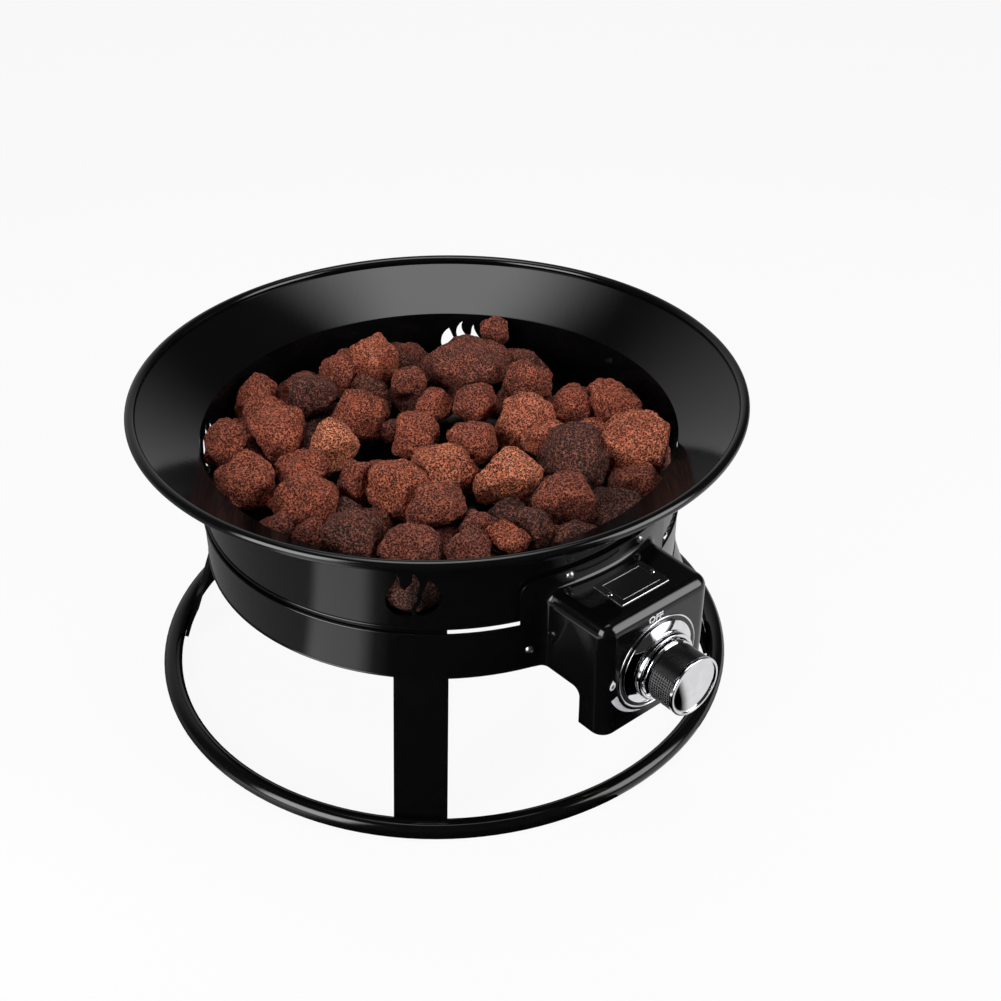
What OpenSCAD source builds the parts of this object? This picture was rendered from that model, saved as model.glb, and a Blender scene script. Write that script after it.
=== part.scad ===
// Tabletop gas fire pit: a round bowl of lava rock on a ring stand, with a gas valve
// in a housing on the front. Millimetres, +Z up, the housing faces -Y, and z = 0 is the
// table. Inside part.scad the bowl's axis is x = y = 0 until in_part_frame() moves it.
// Azimuths are measured from -Y towards +X.

/* [Rim and bowl] */
// Outer radius of the rolled rim
rim_r = 241.3; // [220:0.1:260]
// Radius of the rolled bead round the rim
bead_r = 4; // [3:0.1:5]
// Height of the bead's centre
bead_z = 251.3; // [245:0.1:260]
// Outer radius of the bowl's drum
drum_r = 191.5; // [185:0.1:196]
// Sheet thickness of the drum
drum_t = 1.2; // [0.8:0.1:1.2]
// Lower edge of the drum
drum_z0 = 161; // [158:0.1:163]
// Upper edge of the drum, where the flare starts
drum_z1 = 219.3; // [216:0.1:225]
// Sheet thickness of the flare
flare_t = 1.5; // [1:0.1:2]
// Top face of the bowl's floor
floor_z = 165; // [164:0.1:168]

/* [Flame cut-outs] */
// Azimuth of the first of the four cut-outs
flame_az = -44; // [-46:1:-42]
// Height of the middle of a cut-out
flame_z = 192; // [190:0.5:192]

/* [Stand] */
// Radius of the base ring's bar
ring_bar_r = 7.5; // [6:0.1:8]
// Radius of the base ring to the bar's middle
ring_r = 235.7; // [225:0.1:240]
// Outer radius of the stand's band
band_r = 193; // [192.5:0.1:193.2]
// Lower edge of the band
band_z0 = 116.6; // [110:0.1:120]
// Upper edge of the band
band_z1 = 158; // [155:0.1:158.5]
// Width of each leg
leg_w = 40; // [30:1:45]
// Thickness of each leg
leg_t = 3; // [2:0.5:4]
// Azimuth of the first of the four legs
leg_az = -43; // [-45:1:-41]

/* [Control housing] */
// Front face, measured from the bowl's axis
box_front = 249.5; // [245:0.5:255]
// Half of the width at the front
box_half_front = 52; // [50:0.5:54]
// Half of the width where it meets the bowl
box_half_rear = 53.3; // [52:0.1:55]
// Height of the top face
box_top = 184.5; // [180:0.5:186]
// Lower edge of the front
box_bottom = 87; // [80:1:95]
// Lower edge of the sides behind the front
box_notch_z = 118; // [117:1:119]
// Radius of the outer edges
box_edge_r = 10.5; // [8:0.5:12]
// Sheet thickness of the housing
box_t = 1.5; // [1:0.1:2]
// Upper edge of the flange round the bowl
flange_top = 197.5; // [196:0.5:200]
// Half of the flange's angle round the bowl
flange_half_angle = 21.4; // [20.5:0.1:22]

/* [Knob and valve] */
// Height of the knob's axis
knob_z = 132.5; // [130:0.5:135]
// Front of the knob's cap, measured from the bowl's axis
knob_front = 288; // [285:0.5:290]
// Radius of the knob's grip
grip_r = 23; // [20:0.5:23.5]
// Number of grooves round the grip
grip_grooves = 40; // [24:4:48]
// Radius of the bezel behind the knob
bezel_r = 34; // [31:0.5:35]
// Radius of the valve's stem
stem_r = 4; // [3:0.5:4.5]
// Radius of the gas inlet's thread
inlet_r = 7.94; // [6:0.01:8.5]
// Length of the gas inlet's thread
inlet_len = 14; // [12:1:16]

/* [Burner] */
// Radius of the burner ring to the tube's middle
burner_r = 75; // [65:1:80]
// Radius of the burner ring's tube
burner_tube_r = 7; // [6:0.5:7]
// Number of gas ports on the ring
burner_ports = 16; // [8:4:24]
// Radius of the mixing tube
mixer_r = 11; // [10:0.5:11]

/* [Lava rock] */
// Rocks in the outer ring of the lower layer
outer_rocks = 18; // [16:1:20]
// Rocks in the inner ring of the lower layer
inner_rocks = 13; // [11:1:14]
// Highest point of any rock
rock_top = 229; // [225:1:235]

/* [Hidden] */
$fn = 96;
fit = 0.05;
part_gap = 0.1;
bowl_axis_y = (knob_front - ring_r - ring_bar_r) / 2;
drum_in = drum_r - drum_t;
neck_r = drum_in - part_gap - drum_t;
band_t = 1.5;
lip_r = 1.1;

black = [0.06, 0.06, 0.065];
chrome = [0.82, 0.83, 0.85];
brass = [0.78, 0.62, 0.3];
steel = [0.6, 0.6, 0.62];
rock_red = [0.55, 0.3, 0.22];
rock_dark = [0.36, 0.23, 0.22];
print_grey = [0.86, 0.86, 0.88];

// Top layer: middle [x, y] and width of each rock, laid as the photograph shows them.
top_rocks = [
    [-75, 155, 40], [-90, 115, 36], [-140, 95, 40], [-155, 40, 48], [-95, 80, 52],
    [-45, 115, 42], [0, 140, 36], [35, 125, 54], [-35, 65, 44], [-75, 45, 42],
    [-115, 25, 40], [-95, -15, 34], [-130, -15, 50], [-75, -45, 46], [-130, -75, 50],
    [-110, -110, 46], [-70, -85, 46], [-30, -40, 46], [-10, 10, 40], [25, 45, 34],
    [-15, 40, 26], [90, 80, 68], [145, 105, 30], [110, 20, 42], [140, 50, 30],
    [50, 15, 42], [70, -20, 50], [110, -30, 44], [145, -55, 42], [65, -60, 36],
    [60, -100, 56], [100, -120, 56], [15, -25, 40], [0, -85, 56], [10, -140, 46],
    [-30, -145, 32], [-55, -145, 28], [-80, -140, 34], [-50, -115, 26], [-160, -45, 32],
    [0, 95, 34], [45, 85, 36], [85, 140, 40], [160, 5, 38], [-110, 145, 30],
    [-60, 5, 40], [75, 50, 36], [30, -60, 34], [100, -70, 34], [-100, -50, 34]
];

// ---------------------------------------------------------------- frames and helpers

// Moves the bowl's axis so that the footprint's box is centred on the origin.
module in_part_frame() {
    translate([0, bowl_axis_y, 0]) children();
}

// Turns a piece drawn at azimuth 0, facing -Y, to azimuth az.
module at_azimuth(az) {
    rotate([0, 0, az]) children();
}

// A sector of a turned profile, from azimuth az - half to az + half.
module turned_sector(az, half) {
    at_azimuth(az) rotate([0, 0, -90 - half]) rotate_extrude(angle = 2 * half, $fn = 180)
        children();
}

// A flat outline in x and z, extruded forwards (-Y) from distance u0 to u1.
module forward_plate(u0, u1) {
    translate([0, -u0, 0]) rotate([90, 0, 0]) linear_extrude(u1 - u0) children();
}

// A cylinder along the knob's axis from distance u0 to u1.
module knob_axis_cylinder(u0, u1, r) {
    translate([0, -u0, knob_z]) rotate([90, 0, 0]) cylinder(h = u1 - u0, r = r);
}

// A turned piece round the knob's axis: the outline is [radius, distance from the bowl].
module knob_axis_turned() {
    translate([0, 0, knob_z]) rotate([90, 0, 0]) rotate_extrude() children();
}

// A rectangle with round corners, centred in x, from height z0 to z1.
module round_rect(half, z0, z1, r) {
    translate([-half + r, z0]) square([2 * (half - r), z1 - z0]);
    translate([-half, z0 + r]) square([2 * half, z1 - z0 - 2 * r]);
    for (x = [-half + r, half - r], z = [z0 + r, z1 - r])
        translate([x, z]) circle(r = r);
}

// Points of a cubic curve from a to d with handles b and c, without its last point.
function curve(a, b, c, d, n = 6) = [
    for (i = [0 : n - 1])
        let (t = i / n, s = 1 - t)
            s * s * s * a + 3 * s * s * t * b + 3 * s * t * t * c + t * t * t * d
];

// ---------------------------------------------------------------- stand

module base_ring() {
    color(black) translate([0, 0, ring_bar_r]) rotate_extrude($fn = 180)
        translate([ring_r, 0]) circle(r = ring_bar_r, $fn = 48);
}

// A leg is welded inside the band, bends outwards under it and meets the ring's inside.
leg_out = drum_r - band_t;
leg_bend_z = 117.5;
leg_top_z = 150;
module leg(number) {
    rise = leg_bend_z - ring_bar_r;
    reach = ring_r - leg_out;
    weld_r = ring_bar_r + part_gap;
    slope = atan2(-rise, reach) - asin(weld_r / norm([reach, rise]));
    length = sqrt(reach * reach + rise * rise - weld_r * weld_r);
    foot = [leg_out + length * cos(slope), leg_bend_z + length * sin(slope)];
    inwards = leg_t * [sin(slope), -cos(slope)];
    az = leg_az + 90 * (number - 1);
    color(black) intersection() {
        turned_sector(az, 8) polygon([
            [leg_out, leg_top_z], [leg_out, leg_bend_z], foot, foot + inwards,
            [leg_out - leg_t, leg_bend_z - leg_t / 2], [leg_out - leg_t, leg_top_z]
        ]);
        at_azimuth(az) translate([-leg_w / 2, -ring_r, 0]) cube([leg_w, 80, leg_top_z + 1]);
    }
}

// Where the mixing tube passes through the band from the housing.
module mixer_hole() {
    knob_axis_cylinder(drum_r - 20, drum_r + 20, mixer_r + 1);
}

module stand_band() {
    inner = band_r - band_t;
    color(black) difference() {
        rotate_extrude($fn = 180) {
            translate([inner, band_z0 + lip_r]) square([band_t, band_z1 - band_z0 - 2 * lip_r]);
            for (z = [band_z0 + lip_r, band_z1 - lip_r])
                translate([inner + lip_r, z]) circle(r = lip_r, $fn = 24);
        }
        mixer_hole();
        screw_holes(lower_screw_az, lower_screw_z);
    }
}

// The inner band that joins the drum to the stand behind the gap between them. It is
// cut away under the housing and to both sides of it.
join_open_half = 36.9;
module joining_band() {
    low_out = band_r - band_t - part_gap;
    low_in = low_out - drum_t;
    high_out = drum_in - part_gap;
    high_in = high_out - drum_t;
    color(black) difference() {
        rotate_extrude($fn = 180) polygon([
            [low_in, 132], [low_out, 132], [low_out, 154], [high_out, 159], [high_out, 172],
            [high_in, 172], [high_in, 158.5], [low_in, 153.5]
        ]);
        turned_sector(0, join_open_half) translate([high_in - 5, 130]) square([10, 32.4]);
    }
}

// ---------------------------------------------------------------- bowl

// One flame-shaped cut-out: two lobes with a thin curved strip left between them.
left_lobe = concat(
    curve([-10.5, 17], [-10, 9], [-18, 4], [-19.5, -5]),
    curve([-19.5, -5], [-20.5, -14], [-13, -20], [-5, -20]),
    curve([-5, -20], [-3, -20], [-1, -20], [0, -19]),
    curve([0, -19], [-5, -11], [6, -7], [3, 0]),
    curve([3, 0], [8, 8], [5, 16], [-0.5, 20]),
    curve([-0.5, 20], [3, 12], [-2, 8], [-5.5, 3.5]),
    curve([-5.5, 3.5], [-10, 7], [-7, 12], [-10.5, 17])
);
right_lobe = concat(
    curve([12, 13], [18, 9], [20, 3], [19.5, -3]),
    curve([19.5, -3], [19, -12], [13, -18], [6, -18.5]),
    curve([6, -18.5], [5, -18.5], [4, -18.5], [3, -18]),
    curve([3, -18], [-1, -11], [9, -7], [6, 0]),
    curve([6, 0], [9, 4], [10, 9], [12, 13])
);

module flame_cutouts() {
    for (i = [0 : 3])
        at_azimuth(flame_az + 90 * i) translate([0, 0, flame_z])
            forward_plate(drum_r - 15, drum_r + 15) {
                polygon(left_lobe);
                polygon(right_lobe);
            }
}

module bowl_drum() {
    color(black) difference() {
        rotate_extrude($fn = 180) {
            translate([drum_in, drum_z0 + lip_r]) square([drum_t, drum_z1 - drum_z0 - lip_r]);
            translate([drum_in + lip_r, drum_z0 + lip_r]) circle(r = lip_r, $fn = 24);
        }
        flame_cutouts();
        screw_holes(upper_screw_az, upper_screw_z);
    }
}

// The flare is a straight cone with a neck inside the drum and a rolled bead outside.
module flared_rim() {
    bead_mid = [rim_r - bead_r, bead_z];
    foot = [neck_r + drum_t, drum_z1 + 1.7];
    along = (bead_mid - foot) / norm(bead_mid - foot);
    down = flare_t * [along[1], -along[0]];
    color(black) rotate_extrude($fn = 180) {
        polygon([
            [neck_r, drum_z1 - 5], [neck_r + drum_t, drum_z1 - 5],
            [neck_r + drum_t, drum_z1 + 0.1], foot + down, bead_mid + down, bead_mid, foot,
            [neck_r, drum_z1 + 0.8]
        ]);
        translate(bead_mid) circle(r = bead_r, $fn = 32);
    }
}

floor_t = 1.5;
module bowl_floor() {
    floor_r = neck_r - part_gap;
    color(black) difference() {
        translate([0, 0, floor_z - floor_t]) cylinder(h = floor_t, r = floor_r, $fn = 180);
        translate([0, 0, floor_z - 5]) cylinder(h = 10, r = mixer_r + part_gap);
        for (i = [0 : 7])
            rotate([0, 0, 45 * i + 22.5]) translate([140, 0, floor_z - 5]) cylinder(h = 10, r = 5);
    }
}

// ---------------------------------------------------------------- burner

burner_z = floor_z + 4 + burner_tube_r;
burner_wall = 1.2;
hub_r = 22;
spoke_r = 5;

module burner_ring() {
    color(steel) difference() {
        translate([0, 0, burner_z]) rotate_extrude() translate([burner_r, 0]) difference() {
            circle(r = burner_tube_r, $fn = 48);
            circle(r = burner_tube_r - burner_wall, $fn = 48);
        }
        for (i = [0 : burner_ports - 1])
            rotate([0, 0, i * 360 / burner_ports]) translate([burner_r, 0, burner_z])
                cylinder(h = burner_tube_r + 2, r = 1.2, $fn = 24);
        for (i = [0 : 2])
            rotate([0, 0, 120 * i + 90]) translate([hub_r, 0, burner_z]) rotate([0, 90, 0])
                cylinder(h = burner_r - hub_r, r = spoke_r - burner_wall, $fn = 32);
    }
}

// Three short tubes carry the gas from the hub to the ring.
module burner_spokes() {
    color(steel) for (i = [0 : 2])
        rotate([0, 0, 120 * i + 90]) difference() {
            translate([hub_r - 2, 0, burner_z]) rotate([0, 90, 0])
                cylinder(h = burner_r - hub_r, r = spoke_r, $fn = 48);
            translate([0, 0, burner_z]) rotate([0, 90, 0])
                cylinder(h = 2 * burner_r, r = spoke_r - burner_wall, $fn = 48);
            cylinder(h = 300, r = hub_r + part_gap);
            translate([0, 0, burner_z]) rotate_extrude()
                translate([burner_r, 0]) circle(r = burner_tube_r + part_gap, $fn = 48);
        }
}

// The hub is a closed pot over the end of the mixing tube.
hub_z0 = floor_z + part_gap;
module burner_hub() {
    hub_z1 = burner_z + burner_tube_r;
    color(steel) difference() {
        translate([0, 0, hub_z0]) cylinder(h = hub_z1 - hub_z0, r = hub_r);
        translate([0, 0, hub_z0 + burner_wall])
            cylinder(h = hub_z1 - hub_z0 - 2 * burner_wall, r = hub_r - burner_wall);
        translate([0, 0, hub_z0 - 1]) cylinder(h = 5, r = mixer_r + part_gap);
        for (i = [0 : 2])
            rotate([0, 0, 120 * i + 90]) translate([0, 0, burner_z]) rotate([0, 90, 0])
                cylinder(h = hub_r + 5, r = spoke_r - burner_wall, $fn = 32);
    }
}

module burner_feet() {
    color(steel) for (i = [0 : 2])
        rotate([0, 0, 120 * i + 30]) translate([burner_r, 0, floor_z]) difference() {
            cylinder(h = 8, r = 5, $fn = 32);
            translate([0, 0, burner_z - floor_z]) rotate([90, 0, 0])
                cylinder(h = 40, r = burner_tube_r + 0.4, center = true);
        }
}

// ---------------------------------------------------------------- gas line

mixer_wall = 1.2;
mixer_bend_r = 20;
mixer_mouth = 206;

// The line of the mixing tube as a solid of radius r: level, a bend, then upright.
module mixer_line(r, extra) {
    knob_axis_cylinder(mixer_bend_r, mixer_mouth + extra, r);
    translate([0, 0, knob_z + mixer_bend_r])
        cylinder(h = hub_z0 + 3 + extra - knob_z - mixer_bend_r, r = r);
    translate([0, -mixer_bend_r, knob_z + mixer_bend_r]) rotate([0, 90, 0])
        rotate_extrude(angle = 90) translate([mixer_bend_r, 0]) circle(r = r, $fn = 48);
}

air_slots = 4;
module air_windows(u0, u1, width) {
    for (i = [0 : air_slots - 1])
        translate([0, -u0, knob_z]) rotate([90, 45 + i * 360 / air_slots, 0])
            translate([-width / 2, 0, 0]) cube([width, mixer_r + 5, u1 - u0]);
}

module mixing_tube() {
    color(steel) difference() {
        mixer_line(mixer_r, 0);
        mixer_line(mixer_r - mixer_wall, 1);
        air_windows(197, 204, 7);
    }
}

// A sleeve that turns on the tube's mouth and covers more or less of its windows.
module air_shutter() {
    color(steel) difference() {
        knob_axis_cylinder(195, 205.5, mixer_r + fit + 1.2);
        knob_axis_cylinder(190, 210, mixer_r + fit);
        air_windows(197, 204, 7);
    }
}

// ---------------------------------------------------------------- valve

valve_back = 216;
valve_front = box_front - box_t;
chamber_back = 221;
chamber_front = 241;
chamber_r = 10;
neck_thread_r = 9;
push_travel = 3;
cup_back = 236;
cup_front = 238;

module gas_orifice() {
    color(brass) difference() {
        union() {
            knob_axis_cylinder(208, 212, 4);
            knob_axis_cylinder(212, valve_back, 6);
        }
        knob_axis_cylinder(207, valve_back + 1, 0.8);
    }
}

module valve_body() {
    color(brass) difference() {
        union() {
            knob_axis_cylinder(valve_back, valve_front - part_gap, 15);
            knob_axis_cylinder(valve_front - 1, box_front + 5, neck_thread_r);
            translate([0, -valve_mid, inlet_top]) cylinder(h = 15, r = 10);
        }
        knob_axis_cylinder(chamber_back, chamber_front, chamber_r);
        knob_axis_cylinder(chamber_back, box_front + 6, stem_r + fit);
        knob_axis_cylinder(valve_back - 1, chamber_back + 1, 2);
        translate([0, -valve_mid, inlet_top - 1]) cylinder(h = 16, r = 4);
    }
}

module valve_nut() {
    color(steel) difference() {
        translate([0, -(box_front + bezel_plate_t), knob_z]) rotate([90, 0, 0])
            cylinder(h = 3.7, r = 13.5, $fn = 6);
        knob_axis_cylinder(box_front, box_front + 10, neck_thread_r + fit);
    }
}

// An elbow under the valve turns the inlet back under the bowl, clear of the base ring.
inlet_top = 116;
inlet_axis_z = 104;
inlet_shoulder = 221;
valve_mid = valve_back + 15;

// A cylinder along the inlet's axis from distance u0 to u1.
module inlet_cylinder(u0, u1, r, sides = 96) {
    translate([0, -u0, inlet_axis_z]) rotate([90, 0, 0])
        cylinder(h = u1 - u0, r = r, $fn = sides);
}

module gas_inlet() {
    hex_r = 10.5;
    hex_h = 4;
    body_r = 9.5;
    way_r = 4;
    color(brass) difference() {
        union() {
            translate([0, -valve_mid, inlet_top - hex_h]) cylinder(h = hex_h, r = hex_r, $fn = 6);
            translate([0, -valve_mid, inlet_axis_z - body_r])
                cylinder(h = inlet_top - hex_h - inlet_axis_z + body_r, r = body_r);
            inlet_cylinder(inlet_shoulder, valve_mid, inlet_r + 0.3);
            inlet_cylinder(inlet_shoulder, inlet_shoulder + hex_h, hex_r, 6);
            inlet_cylinder(inlet_shoulder - inlet_len, inlet_shoulder, inlet_r);
        }
        inlet_cylinder(inlet_shoulder - inlet_len - 1, valve_mid, way_r);
        translate([0, -valve_mid, inlet_axis_z])
            cylinder(h = inlet_top - inlet_axis_z + 1, r = way_r - 0.4);
    }
}

// The return spring, as the tube that its turns fill.
module valve_spring() {
    color(steel) difference() {
        knob_axis_cylinder(chamber_back + part_gap, cup_back - part_gap, 8);
        knob_axis_cylinder(chamber_back, cup_back, 6);
    }
}

// The cup slides between the spring, which never turns, and the shoulder of the stem.
module spring_cup() {
    color(steel) difference() {
        knob_axis_cylinder(cup_back, cup_front, chamber_r - 0.5);
        knob_axis_cylinder(cup_back - 1, cup_front + 1, stem_r + 0.3);
    }
}

stem_back = 226;
stem_front = 282;
flat_from = 262;
flat_depth = 1;
// The round stem with its flat, as a solid of radius r.
module stem_shape(r, u1) {
    difference() {
        knob_axis_cylinder(stem_back, u1, r);
        translate([-10, -u1 - 1, knob_z + r - flat_depth]) cube([20, u1 + 1 - flat_from, 5]);
    }
}

module valve_stem() {
    color(brass) {
        stem_shape(stem_r, stem_front);
        knob_axis_cylinder(cup_front + part_gap, chamber_front - part_gap, 7);
    }
}

// ---------------------------------------------------------------- control housing

// Points of an arc round mid, from angle a0 to angle a1.
function arc(mid, r, a0, a1, n = 10) = [
    for (i = [0 : n])
        let (a = a0 + (a1 - a0) * i / n) mid + r * [cos(a), sin(a)]
];

box_rear = 180;
notch_front = 225;
notch_corner_r = 7;

// A block with the housing's round edges, drawn in by the amount inset. Its side view
// from low to the round top front edge is the polygon under, continued over the top.
module box_shape(inset, under) {
    top = box_top - inset;
    front = box_front - inset;
    half = box_half_front - inset;
    rear_half = box_half_rear - inset;
    r = box_edge_r - inset;
    intersection() {
        rotate([90, 0, -90]) linear_extrude(200, center = true)
            polygon(concat(under, arc([front - r, top - r], r, 0, 90), [[box_rear, top]]));
        // Plan view: the front corners are rounded and the sides draw in to the front.
        linear_extrude(300) polygon(concat(
            [[rear_half, -box_rear], [-rear_half, -box_rear]],
            arc([r - half, r - front], r, 180, 270), arc([half - r, r - front], r, 270, 360)
        ));
        // Front view: the long top edges are rounded.
        forward_plate(box_rear - 10, box_front + 10) polygon(concat(
            [[-rear_half, -20], [rear_half, -20]],
            arc([rear_half - r, top - r], r, 0, 90), arc([r - rear_half, top - r], r, 90, 180)
        ));
    }
}

// The underside steps down behind the front, with a round corner in the step.
module box_outside() {
    corner_mid = [notch_front - notch_corner_r, box_notch_z - notch_corner_r];
    box_shape(0, concat(
        [[box_rear, box_notch_z]], arc(corner_mid, notch_corner_r, 90, 0),
        [[notch_front, box_bottom], [box_front, box_bottom]]
    ));
}

module box_inside() {
    box_shape(box_t, [[box_rear, -10], [box_front - box_t, -10]]);
}

flange_in = 193.8;
flange_out = flange_in + box_t;
screw_r = 2;
upper_screw_az = 10.1;
upper_screw_z = 193;
lower_screw_az = 19.3;
lower_screw_z = 136;

// Clearance holes for one pair of the housing's screws.
module screw_holes(az, z) {
    for (side = [-1, 1])
        at_azimuth(side * az) translate([0, -drum_r + 15, z]) rotate([90, 0, 0])
            cylinder(h = 30, r = screw_r + part_gap, $fn = 32);
}

module flange() {
    half_w = flange_out * sin(flange_half_angle);
    corner_r = 12;
    fillet_r = 5;
    fillet_half = asin((box_half_rear - box_edge_r - 1) / flange_out);
    left = corner_r - half_w;
    low = box_notch_z + corner_r;
    high = flange_top - corner_r;
    intersection() {
        turned_sector(0, flange_half_angle + 5)
            translate([flange_in, 100]) square([box_t, 120]);
        forward_plate(100, 220) polygon(concat(
            arc([-left, high], corner_r, 0, 90), arc([left, high], corner_r, 90, 180),
            arc([left, low], corner_r, 180, 270), arc([-left, low], corner_r, 270, 360)
        ));
    }
    turned_sector(0, fillet_half) difference() {
        translate([flange_out - 0.5, box_top - 0.5]) square(fillet_r + 0.3);
        translate([flange_out + fillet_r - 0.2, box_top + fillet_r - 0.2])
            circle(r = fillet_r);
    }
}

module control_housing() {
    color(black) difference() {
        union() {
            difference() {
                box_outside();
                cylinder(h = 300, r = flange_in + 0.5, $fn = 180);
            }
            flange();
        }
        box_inside();
        knob_axis_cylinder(box_front - 10, box_front + 5, neck_thread_r + part_gap);
        screw_holes(upper_screw_az, upper_screw_z);
        screw_holes(lower_screw_az, lower_screw_z);
    }
}

// Runs its children once for each of the housing's four screws, with the distance from
// the bowl's axis to the inner face of the sheet that the screw clamps in $clamp.
module at_each_screw() {
    for (side = [-1, 1]) {
        at_azimuth(side * upper_screw_az) translate([0, 0, upper_screw_z]) rotate([90, 0, 0])
            let ($clamp = drum_in) children();
        at_azimuth(side * lower_screw_az) translate([0, 0, lower_screw_z]) rotate([90, 0, 0])
            let ($clamp = band_r - band_t) children();
    }
}

module housing_screws() {
    head_h = 2.2;
    head_r = 3.2;
    dome_r = (head_r * head_r + head_h * head_h) / (2 * head_h);
    color(steel) at_each_screw() {
        translate([0, 0, $clamp - 5]) cylinder(h = flange_out + 0.5 - $clamp + 5, r = screw_r);
        intersection() {
            translate([0, 0, flange_out + part_gap]) cylinder(h = head_h, r = head_r);
            translate([0, 0, flange_out + part_gap + head_h - dome_r]) sphere(r = dome_r);
        }
    }
}

module housing_nuts() {
    nut_h = 3;
    color(steel) at_each_screw() translate([0, 0, $clamp - nut_h - 0.2]) difference() {
        cylinder(h = nut_h, r = 4, $fn = 6);
        translate([0, 0, -1]) cylinder(h = nut_h + 2, r = screw_r + fit, $fn = 32);
    }
}

plate_mid = 219.5;
plate_t = 0.8;
rivet_x = 21;
module nameplate() {
    color(black) difference() {
        translate([-24, -plate_mid - 15, box_top]) cube([48, 30, plate_t]);
        difference() {
            translate([-18, -plate_mid - 11, box_top + plate_t - 0.3]) cube([36, 22, 1]);
            translate([-17, -plate_mid - 10, box_top]) cube([34, 20, 5]);
        }
        for (x = [-rivet_x, rivet_x])
            translate([x, -plate_mid, box_top - 1]) cylinder(h = 5, r = 1.3, $fn = 32);
    }
}

module nameplate_rivets() {
    color(chrome) for (x = [-rivet_x, rivet_x])
        translate([x, -plate_mid, box_top]) {
            cylinder(h = plate_t + 0.3, r = 1.2, $fn = 32);
            translate([0, 0, plate_t + part_gap]) intersection() {
                cylinder(h = 1.1, r = 2);
                translate([0, 0, 1.1 - 2.4]) sphere(r = 2.4);
            }
        }
}

// ---------------------------------------------------------------- dial

module dial_ring() {
    color(black) difference() {
        knob_axis_cylinder(box_front, box_front + 0.6, 38.4);
        knob_axis_cylinder(box_front - 1, box_front + 2, 37);
    }
}

// Letter strokes for the off mark, in a box of the given height.
stroke = 1.1;
module letter_f(h) {
    square([stroke, h]);
    translate([0, h - stroke]) square([0.62 * h, stroke]);
    translate([0, h / 2 - stroke / 2]) square([0.5 * h, stroke]);
}

module letter_o(h) {
    difference() {
        round_rect(0.4 * h, 0, h, 0.36 * h);
        round_rect(0.4 * h - stroke, stroke, h - stroke, 0.36 * h - stroke);
    }
}

off_h = 5.2;
off_mid = [-4.2, 38.8];
icon_mid = [-44, 0.9];
icon_scale = 0.64;
small_flame = concat(
    curve([0, 5], [1, 2], [4, 1], [3, -2]),
    curve([3, -2], [2.5, -4.5], [-2.5, -4.5], [-3, -2]),
    curve([-3, -2], [-3.4, 0.5], [-1.8, 0.8], [-1.5, 2.2]),
    curve([-1.5, 2.2], [-0.5, 2.4], [0.4, 3.6], [0, 5])
);

// A wedge round the dial that narrows from high to low: thick at 107 degrees left of
// the top, and a point at 160 degrees.
wedge_from = 107;
wedge_to = 160;
wedge_points = concat(
    [for (a = [wedge_from : 3 : wedge_to]) 40.6 * [-sin(a), cos(a)]],
    [for (a = [wedge_to : -3 : wedge_from])
        (41 + 5.5 * (wedge_to - a) / (wedge_to - wedge_from)) * [-sin(a), cos(a)]]
);

module dial_markings() {
    color(print_grey) translate([0, 0, knob_z]) forward_plate(box_front, box_front + 0.3) {
        translate(off_mid) {
            translate([-0.95 * off_h, 0]) letter_o(off_h);
            translate([-0.3 * off_h, 0]) letter_f(off_h);
            translate([0.55 * off_h, 0]) letter_f(off_h);
        }
        translate(icon_mid) scale(icon_scale) polygon(small_flame);
        polygon(wedge_points);
    }
}

bezel_plate_t = 0.8;
bezel_front = 259.3;
bezel_bore = 24.3;

// A chromed skirt, a low cone with a short neck, that is clamped under the valve's nut.
module knob_bezel() {
    neck_r = 27.2;
    color(chrome) knob_axis_turned() polygon([
        [neck_thread_r + part_gap, box_front], [bezel_r, box_front],
        [bezel_r, box_front + 1.1], [bezel_r - 0.5, box_front + 1.6],
        [neck_r + 0.6, box_front + 4.6], [neck_r, box_front + 5.4],
        [neck_r, bezel_front - 0.8], [neck_r - 0.8, bezel_front],
        [bezel_bore, bezel_front], [bezel_bore, box_front + bezel_plate_t],
        [neck_thread_r + part_gap, box_front + bezel_plate_t]
    ]);
}

// ---------------------------------------------------------------- knob

grip_back = 263;
grip_front = 284;

module knob_collar() {
    color(chrome) knob_axis_turned() polygon([
        [16, 257.5], [23.8, 257.5], [23.8, 259.2], [22.6, 259.8], [22.6, 260.6],
        [23.8, 261.2], [23.8, 262.4], [23.2, grip_back], [16, grip_back]
    ]);
}

module knob_grip() {
    groove_r = 0.7;
    color(black) difference() {
        union() {
            knob_axis_cylinder(grip_back, grip_front, grip_r);
            knob_axis_cylinder(258, grip_front, 10);
        }
        for (i = [0 : grip_grooves - 1])
            translate([0, 0, knob_z]) rotate([0, i * 360 / grip_grooves, 0])
                translate([0, -grip_back + 1, grip_r + 0.3]) rotate([90, 0, 0])
                    cylinder(h = grip_front - grip_back - 1.5, r = groove_r, $fn = 16);
        stem_shape(stem_r + 0.01, stem_front);
    }
}

module knob_cap() {
    rim_r = grip_r + 0.5;
    dome_edge = 20.6;
    dome_r = 112;
    dome_turn = asin(dome_edge / dome_r);
    color(chrome) knob_axis_turned() polygon(concat(
        [[0, grip_front], [rim_r, grip_front], [rim_r, 286.5], [rim_r - 0.5, 287],
         [21.6, 287], [21.3, 286]],
        arc([0, knob_front - dome_r], dome_r, 90 - dome_turn, 90)
    ));
}

// ---------------------------------------------------------------- lava rock

// A number from 0 to 1 that depends only on its two seeds.
function noise(a, b) =
    let (s = sin(a * 78.233 + b * 37.719 + 11.3) * 43758.5453) s - floor(s);

burner_top = burner_z + burner_tube_r + 0.4;
wall_limit = 185;
lower_mid_z = 184;

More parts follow.
